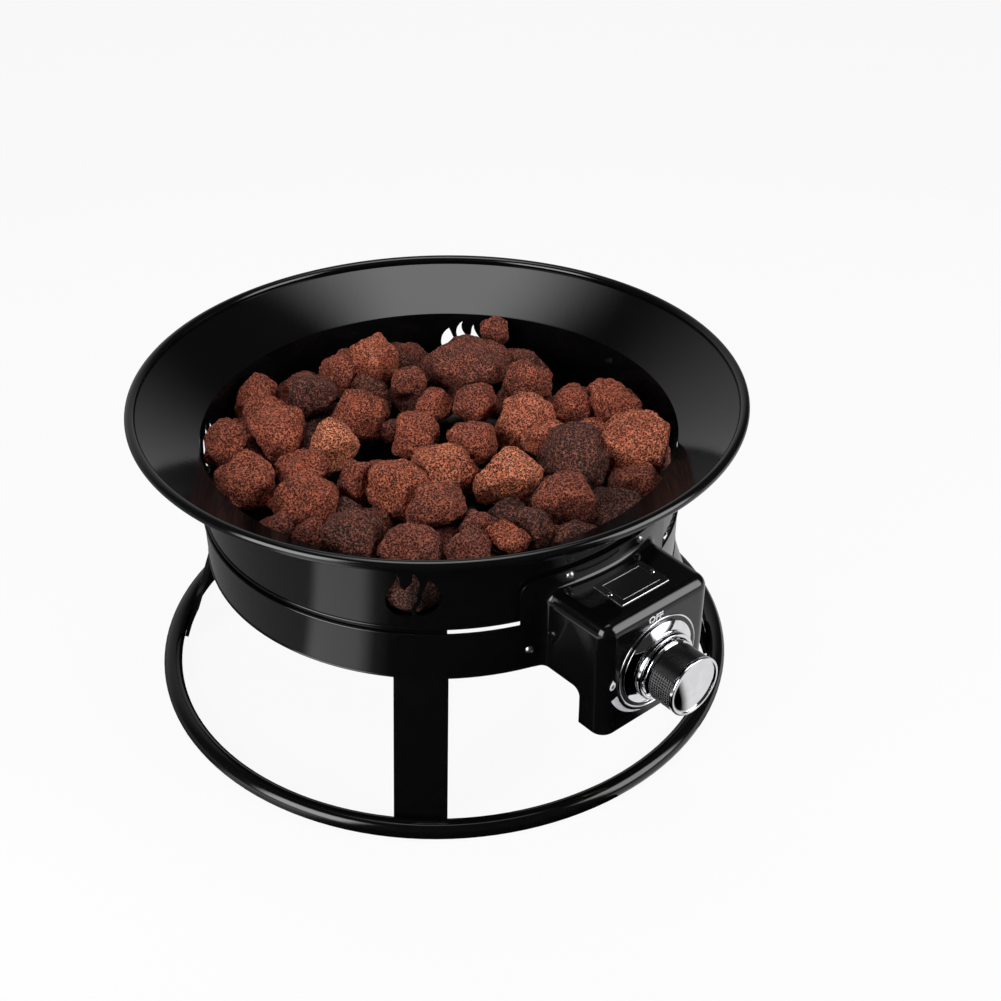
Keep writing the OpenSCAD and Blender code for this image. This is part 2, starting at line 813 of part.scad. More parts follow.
// A rock is [middle, half sizes, turn, lowest height, radius that it stays outside].
function top_rock(i) =
    let (
        w = top_rocks[i][2],
        top = min(rock_top - 1, 190 + 0.58 * w + 7 * noise(i, 1)),
        mid_z = max(top - w / 2, burner_top + 5)
    ) [
        [top_rocks[i][0], top_rocks[i][1], mid_z],
        w / 2 * [1.36 + 0.14 * noise(i, 2), 1.14 + 0.14 * noise(i, 3), 1.08],
        360 * noise(i, 4), burner_top, 0
    ];
function lower_rock(count, r, i, seed) =
    let (a = (i + 0.5 * noise(i, seed)) * 360 / count) [
        [r * cos(a), r * sin(a), lower_mid_z + 4 * noise(i, seed + 1)],
        [29, 26, 22] * (0.9 + 0.2 * noise(i, seed + 2)),
        360 * noise(i, seed + 3), floor_z + 0.3, burner_r + burner_tube_r + 1
    ];
first_outer = len(top_rocks);
first_inner = first_outer + outer_rocks;
rocks = concat(
    [for (i = [0 : len(top_rocks) - 1]) top_rock(i)],
    [for (i = [0 : outer_rocks - 1]) lower_rock(outer_rocks, 160, i, 20)],
    [for (i = [0 : inner_rocks - 1]) lower_rock(inner_rocks, 116, i, 30)]
);

// Directions of a rock's points: both poles and rings of points between them.
rock_rings = 5;
rock_sides = 9;
rock_directions = concat(
    [[0, 0, 1]],
    [for (k = [1 : rock_rings], j = [0 : rock_sides - 1])
        let (up = 90 - k * 180 / (rock_rings + 1), a = (j + (k % 2) / 2) * 360 / rock_sides)
            [cos(up) * cos(a), cos(up) * sin(a), sin(up)]],
    [[0, 0, -1]]
);

// Turns v by tilt about X and then by turn about Z.
function turned(v, tilt, turn) =
    let (y = v[1] * cos(tilt) - v[2] * sin(tilt), z = v[1] * sin(tilt) + v[2] * cos(tilt))
        [v[0] * cos(turn) - y * sin(turn), v[0] * sin(turn) + y * cos(turn), z];

// How far a ray in direction d goes before the plane at distance h with normal n.
function to_plane(d, n, h) = d * n > 0.001 ? h / (d * n) : 1000;

// How far a ray in direction d goes from point c before it is at radius r from the axis.
function to_wall(c, d, r) =
    let (a = d[0] * d[0] + d[1] * d[1], b = c[0] * d[0] + c[1] * d[1])
        a < 0.0001 ? 1000 : (sqrt(b * b - a * (c[0] * c[0] + c[1] * c[1] - r * r)) - b) / a;

// Flat chips broken off each rock, and the gap kept between two rocks.
rock_chips = 9;
rock_spacing = 0.5;

// One point of rock i in direction d. It lies on a chipped and lumpy ellipsoid, cut back
// from the neighbours, the floor, the burner, the bowl's wall and the highest level.
function rock_point(i, d, k, near) =
    let (
        rock = rocks[i],
        c = rock[0],
        size = rock[1],
        local = turned(d, 0, -rock[2]),
        ball = 1 / norm([local[0] / size[0], local[1] / size[1], local[2] / size[2]]),
        chips = [for (m = [1 : rock_chips])
            let (n = turned([0, 0, 1], 180 * noise(i, 40 + m), 360 * noise(i, 60 + m)))
                to_plane(d, n, min(size) * (0.84 + 0.34 * noise(i, 80 + m)))],
        faces = [for (j = near)
            let (
                apart = rocks[j][0] - c,
                far = norm(apart),
                share = size[0] / (size[0] + rocks[j][1][0])
            ) to_plane(d, apart / far, far * share - rock_spacing / 2)],
        out = [c[0], c[1], 0] / max(1, norm([c[0], c[1], 0])),
        keep_out = rock[4] == 0 ? 1000 : to_plane(d, -out, norm([c[0], c[1]]) - rock[4]),
        lump = 0.93 + 0.12 * noise(i * 7.3 + k, 5)
    )
        c + d * min(
            min(ball, min(chips)) * lump, min(concat(faces, [1000])), keep_out,
            to_plane(d, [0, 0, -1], c[2] - rock[3]), to_plane(d, [0, 0, 1], rock_top - c[2]),
            to_wall(c, d, wall_limit)
        );

function ring_index(k, j) = 1 + k * rock_sides + j % rock_sides;
rock_faces = concat(
    [for (j = [0 : rock_sides - 1]) [0, ring_index(0, j + 1), ring_index(0, j)]],
    [for (k = [0 : rock_rings - 2], j = [0 : rock_sides - 1])
        [ring_index(k, j), ring_index(k, j + 1), ring_index(k + 1, j + 1 - k % 2)]],
    [for (k = [0 : rock_rings - 2], j = [0 : rock_sides - 1])
        [ring_index(k, j + k % 2), ring_index(k + 1, j + 1), ring_index(k + 1, j)]],
    [for (j = [0 : rock_sides - 1]) [
        ring_index(rock_rings - 1, j), ring_index(rock_rings - 1, j + 1),
        rock_rings * rock_sides + 1
    ]]
);

module rock(i) {
    reach = 75;
    near = [for (j = [0 : len(rocks) - 1])
        if (j != i && norm(rocks[j][0] - rocks[i][0]) < reach) j];
    tilt = 50 * noise(i, 6);
    spin = 360 * noise(i, 7);
    points = [for (k = [0 : len(rock_directions) - 1])
        rock_point(i, turned(rock_directions[k], tilt, spin), k, near)];
    polyhedron(points = points, faces = rock_faces);
}

// Top rocks by the part of the bowl that they lie in.
function bearing(i) = atan2(top_rocks[i][1], top_rocks[i][0]);
function from_axis(i) = norm([top_rocks[i][0], top_rocks[i][1]]);
module top_rocks_between(low, high) {
    for (i = [0 : len(top_rocks) - 1])
        if (from_axis(i) > 62 && bearing(i) >= low && bearing(i) < high) rock(i);
}

module rocks_lower_outer() {
    color(rock_dark) for (i = [first_outer : first_inner - 1]) rock(i);
}

module rocks_lower_inner() {
    color(rock_dark) for (i = [first_inner : len(rocks) - 1]) rock(i);
}

module rocks_back() {
    color(rock_red) top_rocks_between(45, 135);
}

module rocks_left() {
    color(rock_red) {
        top_rocks_between(135, 181);
        top_rocks_between(-181, -150);
    }
}

module rocks_front() {
    color(rock_red) top_rocks_between(-150, -75);
}

module rocks_right() {
    color(rock_red) top_rocks_between(-75, 45);
}

module rocks_middle() {
    color(rock_dark) for (i = [0 : len(top_rocks) - 1]) if (from_axis(i) <= 62) rock(i);
}

// ---------------------------------------------------------------- the nodes

in_part_frame() base_ring();
in_part_frame() leg(1);  // leg_1
in_part_frame() leg(2);  // leg_2
in_part_frame() leg(3);  // leg_3
in_part_frame() leg(4);  // leg_4
in_part_frame() stand_band();
in_part_frame() joining_band();
in_part_frame() bowl_drum();
in_part_frame() flared_rim();
in_part_frame() bowl_floor();
in_part_frame() burner_ring();
in_part_frame() burner_spokes();
in_part_frame() burner_hub();
in_part_frame() burner_feet();
in_part_frame() mixing_tube();
in_part_frame() air_shutter();
in_part_frame() gas_orifice();
in_part_frame() valve_body();
in_part_frame() valve_nut();
in_part_frame() gas_inlet();
in_part_frame() valve_spring();
in_part_frame() spring_cup();
in_part_frame() valve_stem();
in_part_frame() control_housing();
in_part_frame() housing_screws();
in_part_frame() housing_nuts();
in_part_frame() nameplate();
in_part_frame() nameplate_rivets();
in_part_frame() dial_ring();
in_part_frame() dial_markings();
in_part_frame() knob_bezel();
in_part_frame() knob_collar();
in_part_frame() knob_grip();
in_part_frame() knob_cap();
in_part_frame() rocks_lower_outer();
in_part_frame() rocks_lower_inner();
in_part_frame() rocks_back();
in_part_frame() rocks_left();
in_part_frame() rocks_front();
in_part_frame() rocks_middle();
in_part_frame() rocks_right();
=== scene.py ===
import math
import random

import bmesh
import bpy
from mathutils import Matrix, Vector


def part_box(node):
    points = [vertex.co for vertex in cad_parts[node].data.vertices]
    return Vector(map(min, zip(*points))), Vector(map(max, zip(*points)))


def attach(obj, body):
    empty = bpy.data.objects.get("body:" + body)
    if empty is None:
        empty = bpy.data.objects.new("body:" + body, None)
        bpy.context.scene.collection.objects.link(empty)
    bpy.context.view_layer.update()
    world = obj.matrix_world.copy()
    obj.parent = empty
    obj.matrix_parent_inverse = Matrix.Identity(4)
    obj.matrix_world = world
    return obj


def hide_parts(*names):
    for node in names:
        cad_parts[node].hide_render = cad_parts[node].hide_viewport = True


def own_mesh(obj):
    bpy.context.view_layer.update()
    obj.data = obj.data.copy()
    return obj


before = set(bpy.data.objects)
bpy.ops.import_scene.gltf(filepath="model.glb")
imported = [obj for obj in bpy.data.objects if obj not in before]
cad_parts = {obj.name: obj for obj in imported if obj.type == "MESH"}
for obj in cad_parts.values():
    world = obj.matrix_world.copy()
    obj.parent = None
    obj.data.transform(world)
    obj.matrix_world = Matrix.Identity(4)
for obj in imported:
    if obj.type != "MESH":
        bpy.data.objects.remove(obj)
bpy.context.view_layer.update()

# ---------------------------------------------------------------------------------------
# The camera. The photograph was taken with a 50 mm lens from the left of the control
# housing, about a metre from the bowl and looking down at 34 degrees.
drum_low, drum_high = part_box("bowl_drum")
axis_y = (drum_low.y + drum_high.y) / 2
camera_distance = 0.967
camera_height = 0.7929
camera_azimuth = math.radians(-37.2)
camera_turn = math.radians(-40.056)
camera_pitch = math.radians(33.951)


def around_bowl(azimuth, distance, height):
    """A place round the bowl's axis. Azimuth 0 is in front of the knob, 90 to its right."""
    return Vector((distance * math.sin(azimuth), axis_y - distance * math.cos(azimuth), height))


bpy.ops.object.select_all(action="DESELECT")
bpy.ops.object.camera_add(
    location=around_bowl(camera_azimuth, camera_distance, camera_height),
    rotation=(math.pi / 2 - camera_pitch, 0, camera_turn),
)
camera = bpy.context.object
camera.name = "camera"
camera.data.lens = 50.61
camera.data.sensor_width = 36
bpy.context.scene.camera = camera
bpy.context.scene.view_settings.view_transform = "Standard"

# ---------------------------------------------------------------------------------------
# The studio. A pale table, a dim room with one pale wall behind the object, and three
# soft boxes: overhead, to the left and to the right. The gloss enamel mirrors a table
# that is dark in front of the object, with light strips to the left and to the right.


def put(tree, kind, inputs=None, **settings):
    """Adds a node, makes its settings, and sets its inputs or links them to sockets."""
    node = tree.nodes.new("ShaderNode" + kind)
    for name, value in settings.items():
        setattr(node, name, value)
    for name, value in (inputs or {}).items():
        if isinstance(value, bpy.types.NodeSocket):
            tree.links.new(value, node.inputs[name])
        else:
            node.inputs[name].default_value = value
    return node


def blank_material(name):
    material = bpy.data.materials.new(name)
    material.use_nodes = True
    material.node_tree.nodes.clear()
    return material, material.node_tree


def finish_surface(tree, shader):
    output = tree.nodes.new("ShaderNodeOutputMaterial")
    tree.links.new(shader.outputs[0], output.inputs["Surface"])


def seen_rays(tree):
    """1 for the rays that show the white background, and 0 for the ones that light things."""
    path = put(tree, "LightPath")
    mirrored = put(tree, "Math", {0: path.outputs["Is Glossy Ray"],
                                  1: path.outputs["Is Transmission Ray"]}, operation="MAXIMUM")
    return put(tree, "Math", {0: path.outputs["Is Camera Ray"], 1: mirrored.outputs[0]},
               operation="MAXIMUM").outputs[0]


def prop(name, material):
    """Names the new piece of the set and gives it its material."""
    piece = bpy.context.object
    piece.name = name
    piece.data.materials.append(material)
    return piece


table_shadow_share = 0.07


def table_top():
    material, tree = blank_material("table_top")
    pale = put(tree, "BsdfDiffuse", {"Color": (0.82, 0.82, 0.82, 1)})
    white = put(tree, "Emission", {"Strength": 1})
    share = put(tree, "Math", {0: seen_rays(tree), 1: 1 - table_shadow_share}, operation="MULTIPLY")
    both = put(tree, "MixShader", {0: share.outputs[0], 1: pale.outputs[0], 2: white.outputs[0]})
    finish_surface(tree, both)
    return material


bpy.ops.object.select_all(action="DESELECT")
bpy.ops.mesh.primitive_plane_add(size=12, location=(0, axis_y, 0))
prop("table", table_top())

wall_level = 0.45
wall_azimuth = math.radians(160)
room_level = 0.03


def room_glow(tree, place, reach):
    """How bright the room is at a place that far from its middle: dim, but for the pale wall."""
    towards_wall = (math.sin(wall_azimuth) / reach, -math.cos(wall_azimuth) / reach, 0)
    facing_wall = put(tree, "VectorMath", {0: put(tree, "TexCoord").outputs[place], 1: towards_wall},
                      operation="DOT_PRODUCT")
    wall = put(tree, "MapRange", {"Value": facing_wall.outputs["Value"], "From Min": 0.45,
                                  "From Max": 0.95, "To Min": room_level, "To Max": wall_level},
               interpolation_type="SMOOTHSTEP")
    return wall.outputs[0]


world = bpy.data.worlds.new("studio_room")
world.use_nodes = True
bpy.context.scene.world = world
tree = world.node_tree
tree.nodes.clear()
room = put(tree, "Background", {"Strength": room_glow(tree, "Generated", 1)})
backdrop = put(tree, "Background", {"Color": (1, 1, 1, 1), "Strength": 1})
both = put(tree, "MixShader", {0: seen_rays(tree), 1: room.outputs[0], 2: backdrop.outputs[0]})
put(tree, "OutputWorld", {"Surface": both.outputs[0]})


# Black cloth round the set and cards on the table, which only the gloss mirrors: how
# bright they look by azimuth round the bowl in degrees. The table is black in front.
card_light = {-88: 0.2, -84: 1.2, -68: 1.2, -62: 0.15, -56: 0, 10: 0, 13: 0.8, 60: 0.8,
              90: 0.3, 130: 0.2, 180: 0.2, 267: 0.2}
under_bowl = (0.235, 0.275)


def only_mirrored(piece):
    """Hides a card from all but the rays that a glossy surface mirrors."""
    piece.visible_camera = False
    piece.visible_diffuse = False
    piece.visible_transmission = False
    piece.visible_shadow = False
    piece.visible_volume_scatter = False


def shade_ramp(tree, factor, stops):
    """The colour of a ramp at that factor. Each stop is a position and a colour."""
    ramp = put(tree, "ValToRGB", {"Fac": factor})
    elements = ramp.color_ramp.elements
    while len(elements) < len(stops):
        elements.new(1)
    for element, (position, colour) in zip(elements, stops):
        element.position = position
        element.color = (*colour, 1)
    return ramp.outputs["Color"]


def card_surface():
    material, tree = blank_material("card_surface")
    place = put(tree, "TexCoord").outputs["Object"]
    angle = put(tree, "TexGradient", {0: place}, gradient_type="RADIAL")
    brightest = max(card_light.values())
    stops = sorted(((azimuth / 360 + 0.25) % 1, 3 * (level / brightest,))
                   for azimuth, level in card_light.items())
    distance = put(tree, "VectorMath", {0: place}, operation="LENGTH")
    clear = put(tree, "MapRange", {"Value": distance.outputs["Value"], "From Min": under_bowl[0],
                                   "From Max": under_bowl[1], "To Min": 0.05 * brightest,
                                   "To Max": brightest}, interpolation_type="SMOOTHSTEP")
    glow = put(tree, "Emission", {"Color": shade_ramp(tree, angle.outputs["Fac"], stops),
                                  "Strength": clear.outputs[0]})
    finish_surface(tree, glow)
    return material


bpy.ops.object.select_all(action="DESELECT")
bpy.ops.mesh.primitive_plane_add(size=7.6, location=(0, axis_y, 0.0004))
only_mirrored(prop("table_cards", card_surface()))

# A square white card lies on the table under the housing's front. Only the gloss mirrors it.
white_card_side = 0.105
white_card_place = (0.032, axis_y - 0.2475, 0.0008)


def white_card_surface():
    material, tree = blank_material("white_card_surface")
    finish_surface(tree, put(tree, "Emission", {"Strength": 0.8}))
    return material


bpy.ops.object.select_all(action="DESELECT")
bpy.ops.mesh.primitive_plane_add(size=white_card_side, location=white_card_place)
only_mirrored(prop("white_card", white_card_surface()))

cloth_radius = 4


def cloth_surface():
    material, tree = blank_material("dark_cloth")
    glow = put(tree, "Emission", {"Strength": room_glow(tree, "Object", cloth_radius)})
    finish_surface(tree, glow)
    return material


bpy.ops.object.select_all(action="DESELECT")
bpy.ops.mesh.primitive_uv_sphere_add(segments=48, ring_count=24, radius=cloth_radius,
                                     location=(0, axis_y, 0))
only_mirrored(prop("dark_cloth", cloth_surface()))


def soft_box(name, place, width, height, radiance, core):
    """A lamp of that radiance in the middle, which fades out from the share core to its edge."""
    lamp = bpy.data.lights.new(name, "AREA")
    lamp.shape = "RECTANGLE"
    lamp.size = width
    lamp.size_y = height
    lamp.energy = radiance * math.pi * width * height
    lamp.use_nodes = True
    tree = lamp.node_tree
    tree.nodes.clear()
    across = put(tree, "VectorMath", {0: put(tree, "NewGeometry").outputs["Parametric"],
                                      1: (0.5, 0.5, 0)}, operation="SUBTRACT")
    sides = put(tree, "SeparateXYZ", {0: put(tree, "VectorMath", {0: across.outputs[0]},
                                             operation="ABSOLUTE").outputs[0]})
    fades = [put(tree, "MapRange", {"Value": sides.outputs[axis], "From Min": core / 2, "From Max": 0.5,
                                    "To Min": 1, "To Max": 0}, interpolation_type="SMOOTHSTEP")
             for axis in ("X", "Y")]
    fade = put(tree, "Math", {0: fades[0].outputs[0], 1: fades[1].outputs[0]}, operation="MULTIPLY")
    glow = put(tree, "Emission", {"Strength": fade.outputs[0]})
    put(tree, "OutputLight", {"Surface": glow.outputs[0]})
    box = bpy.data.objects.new(name, lamp)
    bpy.context.scene.collection.objects.link(box)
    box.location = place
    aim = Vector((0, axis_y, 0.15))
    box.rotation_euler = (aim - place).to_track_quat("-Z", "Y").to_euler()
    box.visible_camera = False


soft_box("soft_box_above", Vector((0.06, 0.14, 1.7)), 1.45, 1.45, 3.6, 0.2)
soft_box("soft_box_left", around_bowl(math.radians(-86), 1.4, 0.62), 1.1, 1.3, 7, 0.5)
soft_box("soft_box_right", around_bowl(math.radians(32), 1.4, 0.8), 1.1, 1.4, 5, 0.5)

# ---------------------------------------------------------------------------------------
# The enamel. Every sheet and bar of the bowl and its stand is steel, sprayed with gloss
# black stove enamel that dried with a faint orange peel.


def orange_peel():
    """Node group: the low waves of sprayed enamel and its patches of duller gloss."""
    group = bpy.data.node_groups.new("orange_peel", "ShaderNodeTree")
    for name, value in (("Wave Size", 0.004), ("Depth", 0.1), ("Gloss", 0.1), ("Dull", 0.16)):
        socket = group.interface.new_socket(name, in_out="INPUT", socket_type="NodeSocketFloat")
        socket.default_value = value
    group.interface.new_socket("Roughness", in_out="OUTPUT", socket_type="NodeSocketFloat")
    group.interface.new_socket("Normal", in_out="OUTPUT", socket_type="NodeSocketVector")
    given = group.nodes.new("NodeGroupInput")
    made = group.nodes.new("NodeGroupOutput")
    place = put(group, "TexCoord").outputs["Object"]
    scale = put(group, "Math", {0: 1, 1: given.outputs["Wave Size"]}, operation="DIVIDE")
    waves = put(group, "TexNoise", {"Vector": place, "Scale": scale.outputs[0], "Detail": 1})
    bump = put(group, "Bump", {"Strength": given.outputs["Depth"], "Distance": 0.0002,
                               "Height": waves.outputs["Fac"]})
    patches = put(group, "TexNoise", {"Vector": place, "Scale": 14, "Detail": 3})
    gloss = put(group, "MapRange", {"Value": patches.outputs["Fac"], "From Min": 0.35, "From Max": 0.7,
                                    "To Min": given.outputs["Gloss"], "To Max": given.outputs["Dull"]})
    group.links.new(gloss.outputs[0], made.inputs["Roughness"])
    group.links.new(bump.outputs[0], made.inputs["Normal"])
    return group


peel = orange_peel()


def enamel(name, colour, gloss, dull, depth):
    """A skin with orange peel of that depth, and fine specks a little darker than its colour."""
    material, tree = blank_material(name)
    skin = put(tree, "Group", node_tree=peel)
    skin.inputs["Gloss"].default_value = gloss
    skin.inputs["Dull"].default_value = dull
    skin.inputs["Depth"].default_value = depth
    specks = put(tree, "TexNoise", {"Vector": put(tree, "TexCoord").outputs["Object"], "Scale": 900,
                                    "Detail": 1})
    dark = [0.7 * c for c in colour]
    shade = put(tree, "MapRange", {"Value": specks.outputs["Fac"], "From Min": 0.4, "From Max": 0.6,
                                   "To Min": 0, "To Max": 1})
    tint = put(tree, "Mix", {"Factor": shade.outputs[0], "A": (*dark, 1), "B": (*colour, 1)},
               data_type="RGBA")
    shader = put(tree, "BsdfPrincipled", {"Base Color": tint.outputs["Result"],
                                          "Roughness": skin.outputs["Roughness"],
                                          "Normal": skin.outputs["Normal"]})
    finish_surface(tree, shader)
    return material


def give(node_names, material):
    """Puts a finish on CAD nodes."""
    for name in node_names:
        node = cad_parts[name]
        node.data.materials.clear()
        node.data.materials.append(material)


gloss_black = enamel("gloss_black_enamel", (0.0035, 0.0035, 0.004), 0.08, 0.13, 0.08)
give(["base_ring", "leg_1", "leg_2", "leg_3", "leg_4", "stand_band", "joining_band", "bowl_drum",
      "bowl_floor", "control_housing"], gloss_black)

# ---------------------------------------------------------------------------------------
# The burner. A ring of steel tube on three spokes and three feet, welded to a hub over the middle of
# the bowl's floor. It came bare from the welder. Its steel is nearly black: partly burnt dark by the
# flames, and partly painted shade for the gaps between the stones where it shows.


def bare_metal(name, colour, smoothest, roughest, scratch, blotch=0.85):
    """Metal whose polish wanders, with fine scratches. Blotches are that share as bright."""
    material, tree = blank_material(name)
    place = put(tree, "TexCoord").outputs["Object"]
    patches = put(tree, "TexNoise", {"Vector": place, "Scale": 120, "Detail": 4})
    polish = put(tree, "MapRange", {"Value": patches.outputs["Fac"], "From Min": 0.35, "From Max": 0.65,
                                    "To Min": smoothest, "To Max": roughest})
    even = put(tree, "MapRange", {"Value": patches.outputs["Fac"], "From Min": 0.4, "From Max": 0.6})
    tint = put(tree, "Mix", {"Factor": even.outputs[0], "A": (*[blotch * c for c in colour], 1),
                             "B": (*colour, 1)}, data_type="RGBA")
    lines = put(tree, "TexNoise", {"Vector": place, "Scale": 1800, "Detail": 2})
    bump = put(tree, "Bump", {"Strength": scratch, "Distance": 0.0001, "Height": lines.outputs["Fac"]})
    shader = put(tree, "BsdfPrincipled", {"Base Color": tint.outputs["Result"], "Metallic": 1,
                                          "Roughness": polish.outputs[0], "Normal": bump.outputs[0]})
    finish_surface(tree, shader)
    return material


burnt_steel = bare_metal("burnt_steel", (0.05, 0.043, 0.04), 0.45, 0.65, 0.3, 0.5)
give(["burner_ring", "burner_spokes", "burner_hub", "burner_feet"], burnt_steel)

# ---------------------------------------------------------------------------------------
# The gas way. A tube of galvanised steel mixes gas and air behind the valve, and a sleeve
# on its mouth sets the air. The jet in its mouth, the valve, and its elbow are brass.
tube_zinc = bare_metal("galvanised_steel", (0.5, 0.5, 0.51), 0.32, 0.5, 0.15, 0.7)
turned_brass = bare_metal("turned_brass", (0.72, 0.5, 0.2), 0.2, 0.34, 0.2, 0.8)
give(["mixing_tube", "air_shutter"], tube_zinc)
give(["gas_orifice", "valve_body", "gas_inlet", "valve_stem"], turned_brass)

# ---------------------------------------------------------------------------------------
# The valve's spring cup and nut, and the nuts behind the housing's screws. They are small
# turned and stamped parts of steel, plated with bright zinc.
bright_zinc = bare_metal("bright_zinc", (0.64, 0.64, 0.66), 0.16, 0.28, 0.08, 0.85)
give(["spring_cup", "valve_nut", "housing_nuts"], bright_zinc)

# ---------------------------------------------------------------------------------------
# The control housing. A box of 1.5 mm sheet with round corners, open behind and below,
# pressed in one piece with a flange that is curved to the bowl. It is enamelled with the
# bowl, and four screws hold the flange.
sheet = 0.0015
housing_front = 0.2495
housing_rear = 0.18
housing_side = 0.0533
housing_front_side = 0.052
housing_taper = (housing_side - housing_front_side) / (housing_front - housing_rear)
housing_top = 0.1845
housing_low = 0.087
step_front = 0.225
step_height = 0.118
step_round = 0.007
edge_round = 0.0105
fillet_round = 0.0045
arch_cut = 0.0075
hair = 0.00001
flange_radius = 0.1953
flange_side = 0.0713
flange_high = 0.1975
flange_corner = 0.012


def ahead(distance):
    """The y of a place that far in front of the bowl's axis."""
    return axis_y - distance


def work_on(kind):
    """Makes faces, edges or vertices what is chosen in edit mode."""
    bpy.context.tool_settings.mesh_select_mode = (kind == "verts", kind == "edges", kind == "faces")


def begin_edit(kind):
    """Starts editing the active mesh with faces, edges or vertices as what is chosen."""
    bpy.ops.object.mode_set(mode="EDIT")
    work_on(kind)


def choose(kind, test):
    """Selects only the faces, edges or vertices that pass the test, in edit mode."""
    bpy.ops.mesh.select_all(action="DESELECT")
    work_on(kind)
    form = bmesh.from_edit_mesh(bpy.context.object.data)
    for part in getattr(form, kind):
        part.select_set(bool(test(part)))
    form.select_flush_mode()
    bmesh.update_edit_mesh(bpy.context.object.data)


def middle(part):
    return sum((vertex.co for vertex in part.verts), Vector()) / len(part.verts)


def close_to(value, wanted, margin=0.0002):
    return abs(value - wanted) < margin


def along(edge, axis):
    """Whether an edge runs along that axis."""
    run = edge.verts[1].co - edge.verts[0].co
    return abs(run[axis]) > 0.9 * run.length


def add_cube(name, low, high):
    bpy.ops.object.select_all(action="DESELECT")
    size = [b - a for a, b in zip(low, high)]
    centre = [(a + b) / 2 for a, b in zip(low, high)]
    bpy.ops.mesh.primitive_cube_add(size=1, location=centre, scale=size)
    bpy.ops.object.transform_apply(location=True, rotation=True, scale=True)
    bpy.context.object.name = name
    return bpy.context.object


def add_step(piece, kind, **settings):
    """Adds a modifier and applies it."""
    bpy.context.view_layer.objects.active = piece
    step = piece.modifiers.new("step", kind)
    for key, value in settings.items():
        setattr(step, key, value)
    bpy.ops.object.modifier_apply(modifier=step.name)


def pick(*pieces):
    """Selects only those pieces and makes the first of them active."""
    bpy.ops.object.select_all(action="DESELECT")
    for piece in pieces:
        piece.select_set(True)
    bpy.context.view_layer.objects.active = pieces[0]


def smooth_sheet(piece, angle=35):
    pick(piece)
    bpy.ops.object.shade_smooth_by_angle(angle=math.radians(angle))


housing = add_cube("pressed_housing", (-housing_side, ahead(housing_front), housing_low),
                   (housing_side, ahead(step_front), housing_top))
begin_edit("faces")
bpy.ops.mesh.select_all(action="SELECT")
bpy.ops.mesh.bisect(plane_co=(0, 0, step_height), plane_no=(0, 0, 1))
choose("faces", lambda face: face.normal.y > 0.9 and middle(face).z > step_height)
bpy.ops.mesh.extrude_region_move(TRANSFORM_OT_translate={"value": (0, step_front - housing_rear, 0)})
for place in (housing_front, step_front):
    choose("verts", lambda vertex: close_to(vertex.co.y, ahead(place)))
    narrowed = 1 - housing_taper * (place - housing_rear) / housing_side
    bpy.ops.transform.resize(value=(narrowed, 1, 1), center_override=(0, 0, 0))


def round_edge(edge):
    """The box's outer edges: front to top, front to sides and top to sides."""
    place = middle(edge)
    at_front = close_to(place.y, ahead(housing_front))
    at_top = close_to(place.z, housing_top)
    at_side = abs(place.x) > 0.9 * housing_side
    return (at_front and at_top) or (at_front and at_side and along(edge, 2)) or (
        at_top and at_side and along(edge, 1))


choose("edges", round_edge)
bpy.ops.mesh.bevel(offset=edge_round, segments=8, affect="EDGES")
choose("edges", lambda edge: close_to(middle(edge).y, ahead(step_front))
       and close_to(middle(edge).z, step_height) and along(edge, 0))
bpy.ops.mesh.bevel(offset=step_round, segments=5, affect="EDGES")
choose("faces", lambda face: abs(face.normal.x) < 0.5
       and (face.normal.y > 0.02 or face.normal.z < -0.02))
bpy.ops.mesh.delete(type="FACE")
flat_half = housing_side - edge_round
for cut in range(-5, 6):
    bpy.ops.mesh.select_all(action="SELECT")
    bpy.ops.mesh.bisect(plane_co=(cut * arch_cut, 0, 0), plane_no=(1, 0, 0))


def lay_on_bowl(vertex, radius):
    vertex.co.y = axis_y - math.sqrt(radius ** 2 - vertex.co.x ** 2)


choose("edges", lambda edge: all(close_to(vertex.co.y, ahead(housing_rear)) for vertex in edge.verts))
form = bmesh.from_edit_mesh(housing.data)
for vertex in form.verts:
    if vertex.select:
        lay_on_bowl(vertex, flange_radius)
bpy.ops.mesh.extrude_edges_move(TRANSFORM_OT_translate={"value": (0, 0, 0)})
form = bmesh.from_edit_mesh(housing.data)
wide_half = flange_side - flange_corner
for vertex in form.verts:
    if not vertex.select:
        continue
    side = math.copysign(1, vertex.co.x)
    across = abs(vertex.co.x) - flat_half
    up = vertex.co.z - (housing_top - edge_round)
    if across <= hair:
        vertex.co.x *= wide_half / flat_half
        vertex.co.z = flange_high
    elif up <= hair:
        vertex.co.x = side * flange_side
        drop = (vertex.co.z - step_height) / (housing_top - edge_round - step_height)
        vertex.co.z = step_height + drop * (flange_high - flange_corner - step_height)
    else:
        angle = math.atan2(up, across)
        vertex.co.x = side * (wide_half + flange_corner * math.cos(angle))
        vertex.co.z = flange_high - flange_corner + flange_corner * math.sin(angle)
    lay_on_bowl(vertex, flange_radius)
bmesh.update_edit_mesh(housing.data)
choose("verts", lambda vertex: close_to(abs(vertex.co.x), flange_side)
       and close_to(vertex.co.z, step_height))
bpy.ops.mesh.bevel(offset=flange_corner, segments=6, affect="VERTICES")
choose("edges", lambda edge: len(edge.link_faces) == 2 and edge.calc_face_angle() > math.radians(50)
       and middle(edge).y > ahead(flange_radius + 0.001))
bpy.ops.mesh.bevel(offset=fillet_round, segments=5, affect="EDGES")
bpy.ops.mesh.select_all(action="SELECT")
bpy.ops.mesh.normals_make_consistent(inside=False)
bpy.ops.object.mode_set(mode="OBJECT")
add_step(housing, "SOLIDIFY", thickness=sheet, offset=-1, use_even_offset=True,
         use_quality_normals=True)
add_step(housing, "BEVEL", width=0.0004, segments=2, limit_method="ANGLE",
         angle_limit=math.radians(60))
smooth_sheet(housing)
add_step(housing, "WEIGHTED_NORMAL", keep_sharp=True)
housing.data.materials.append(gloss_black)
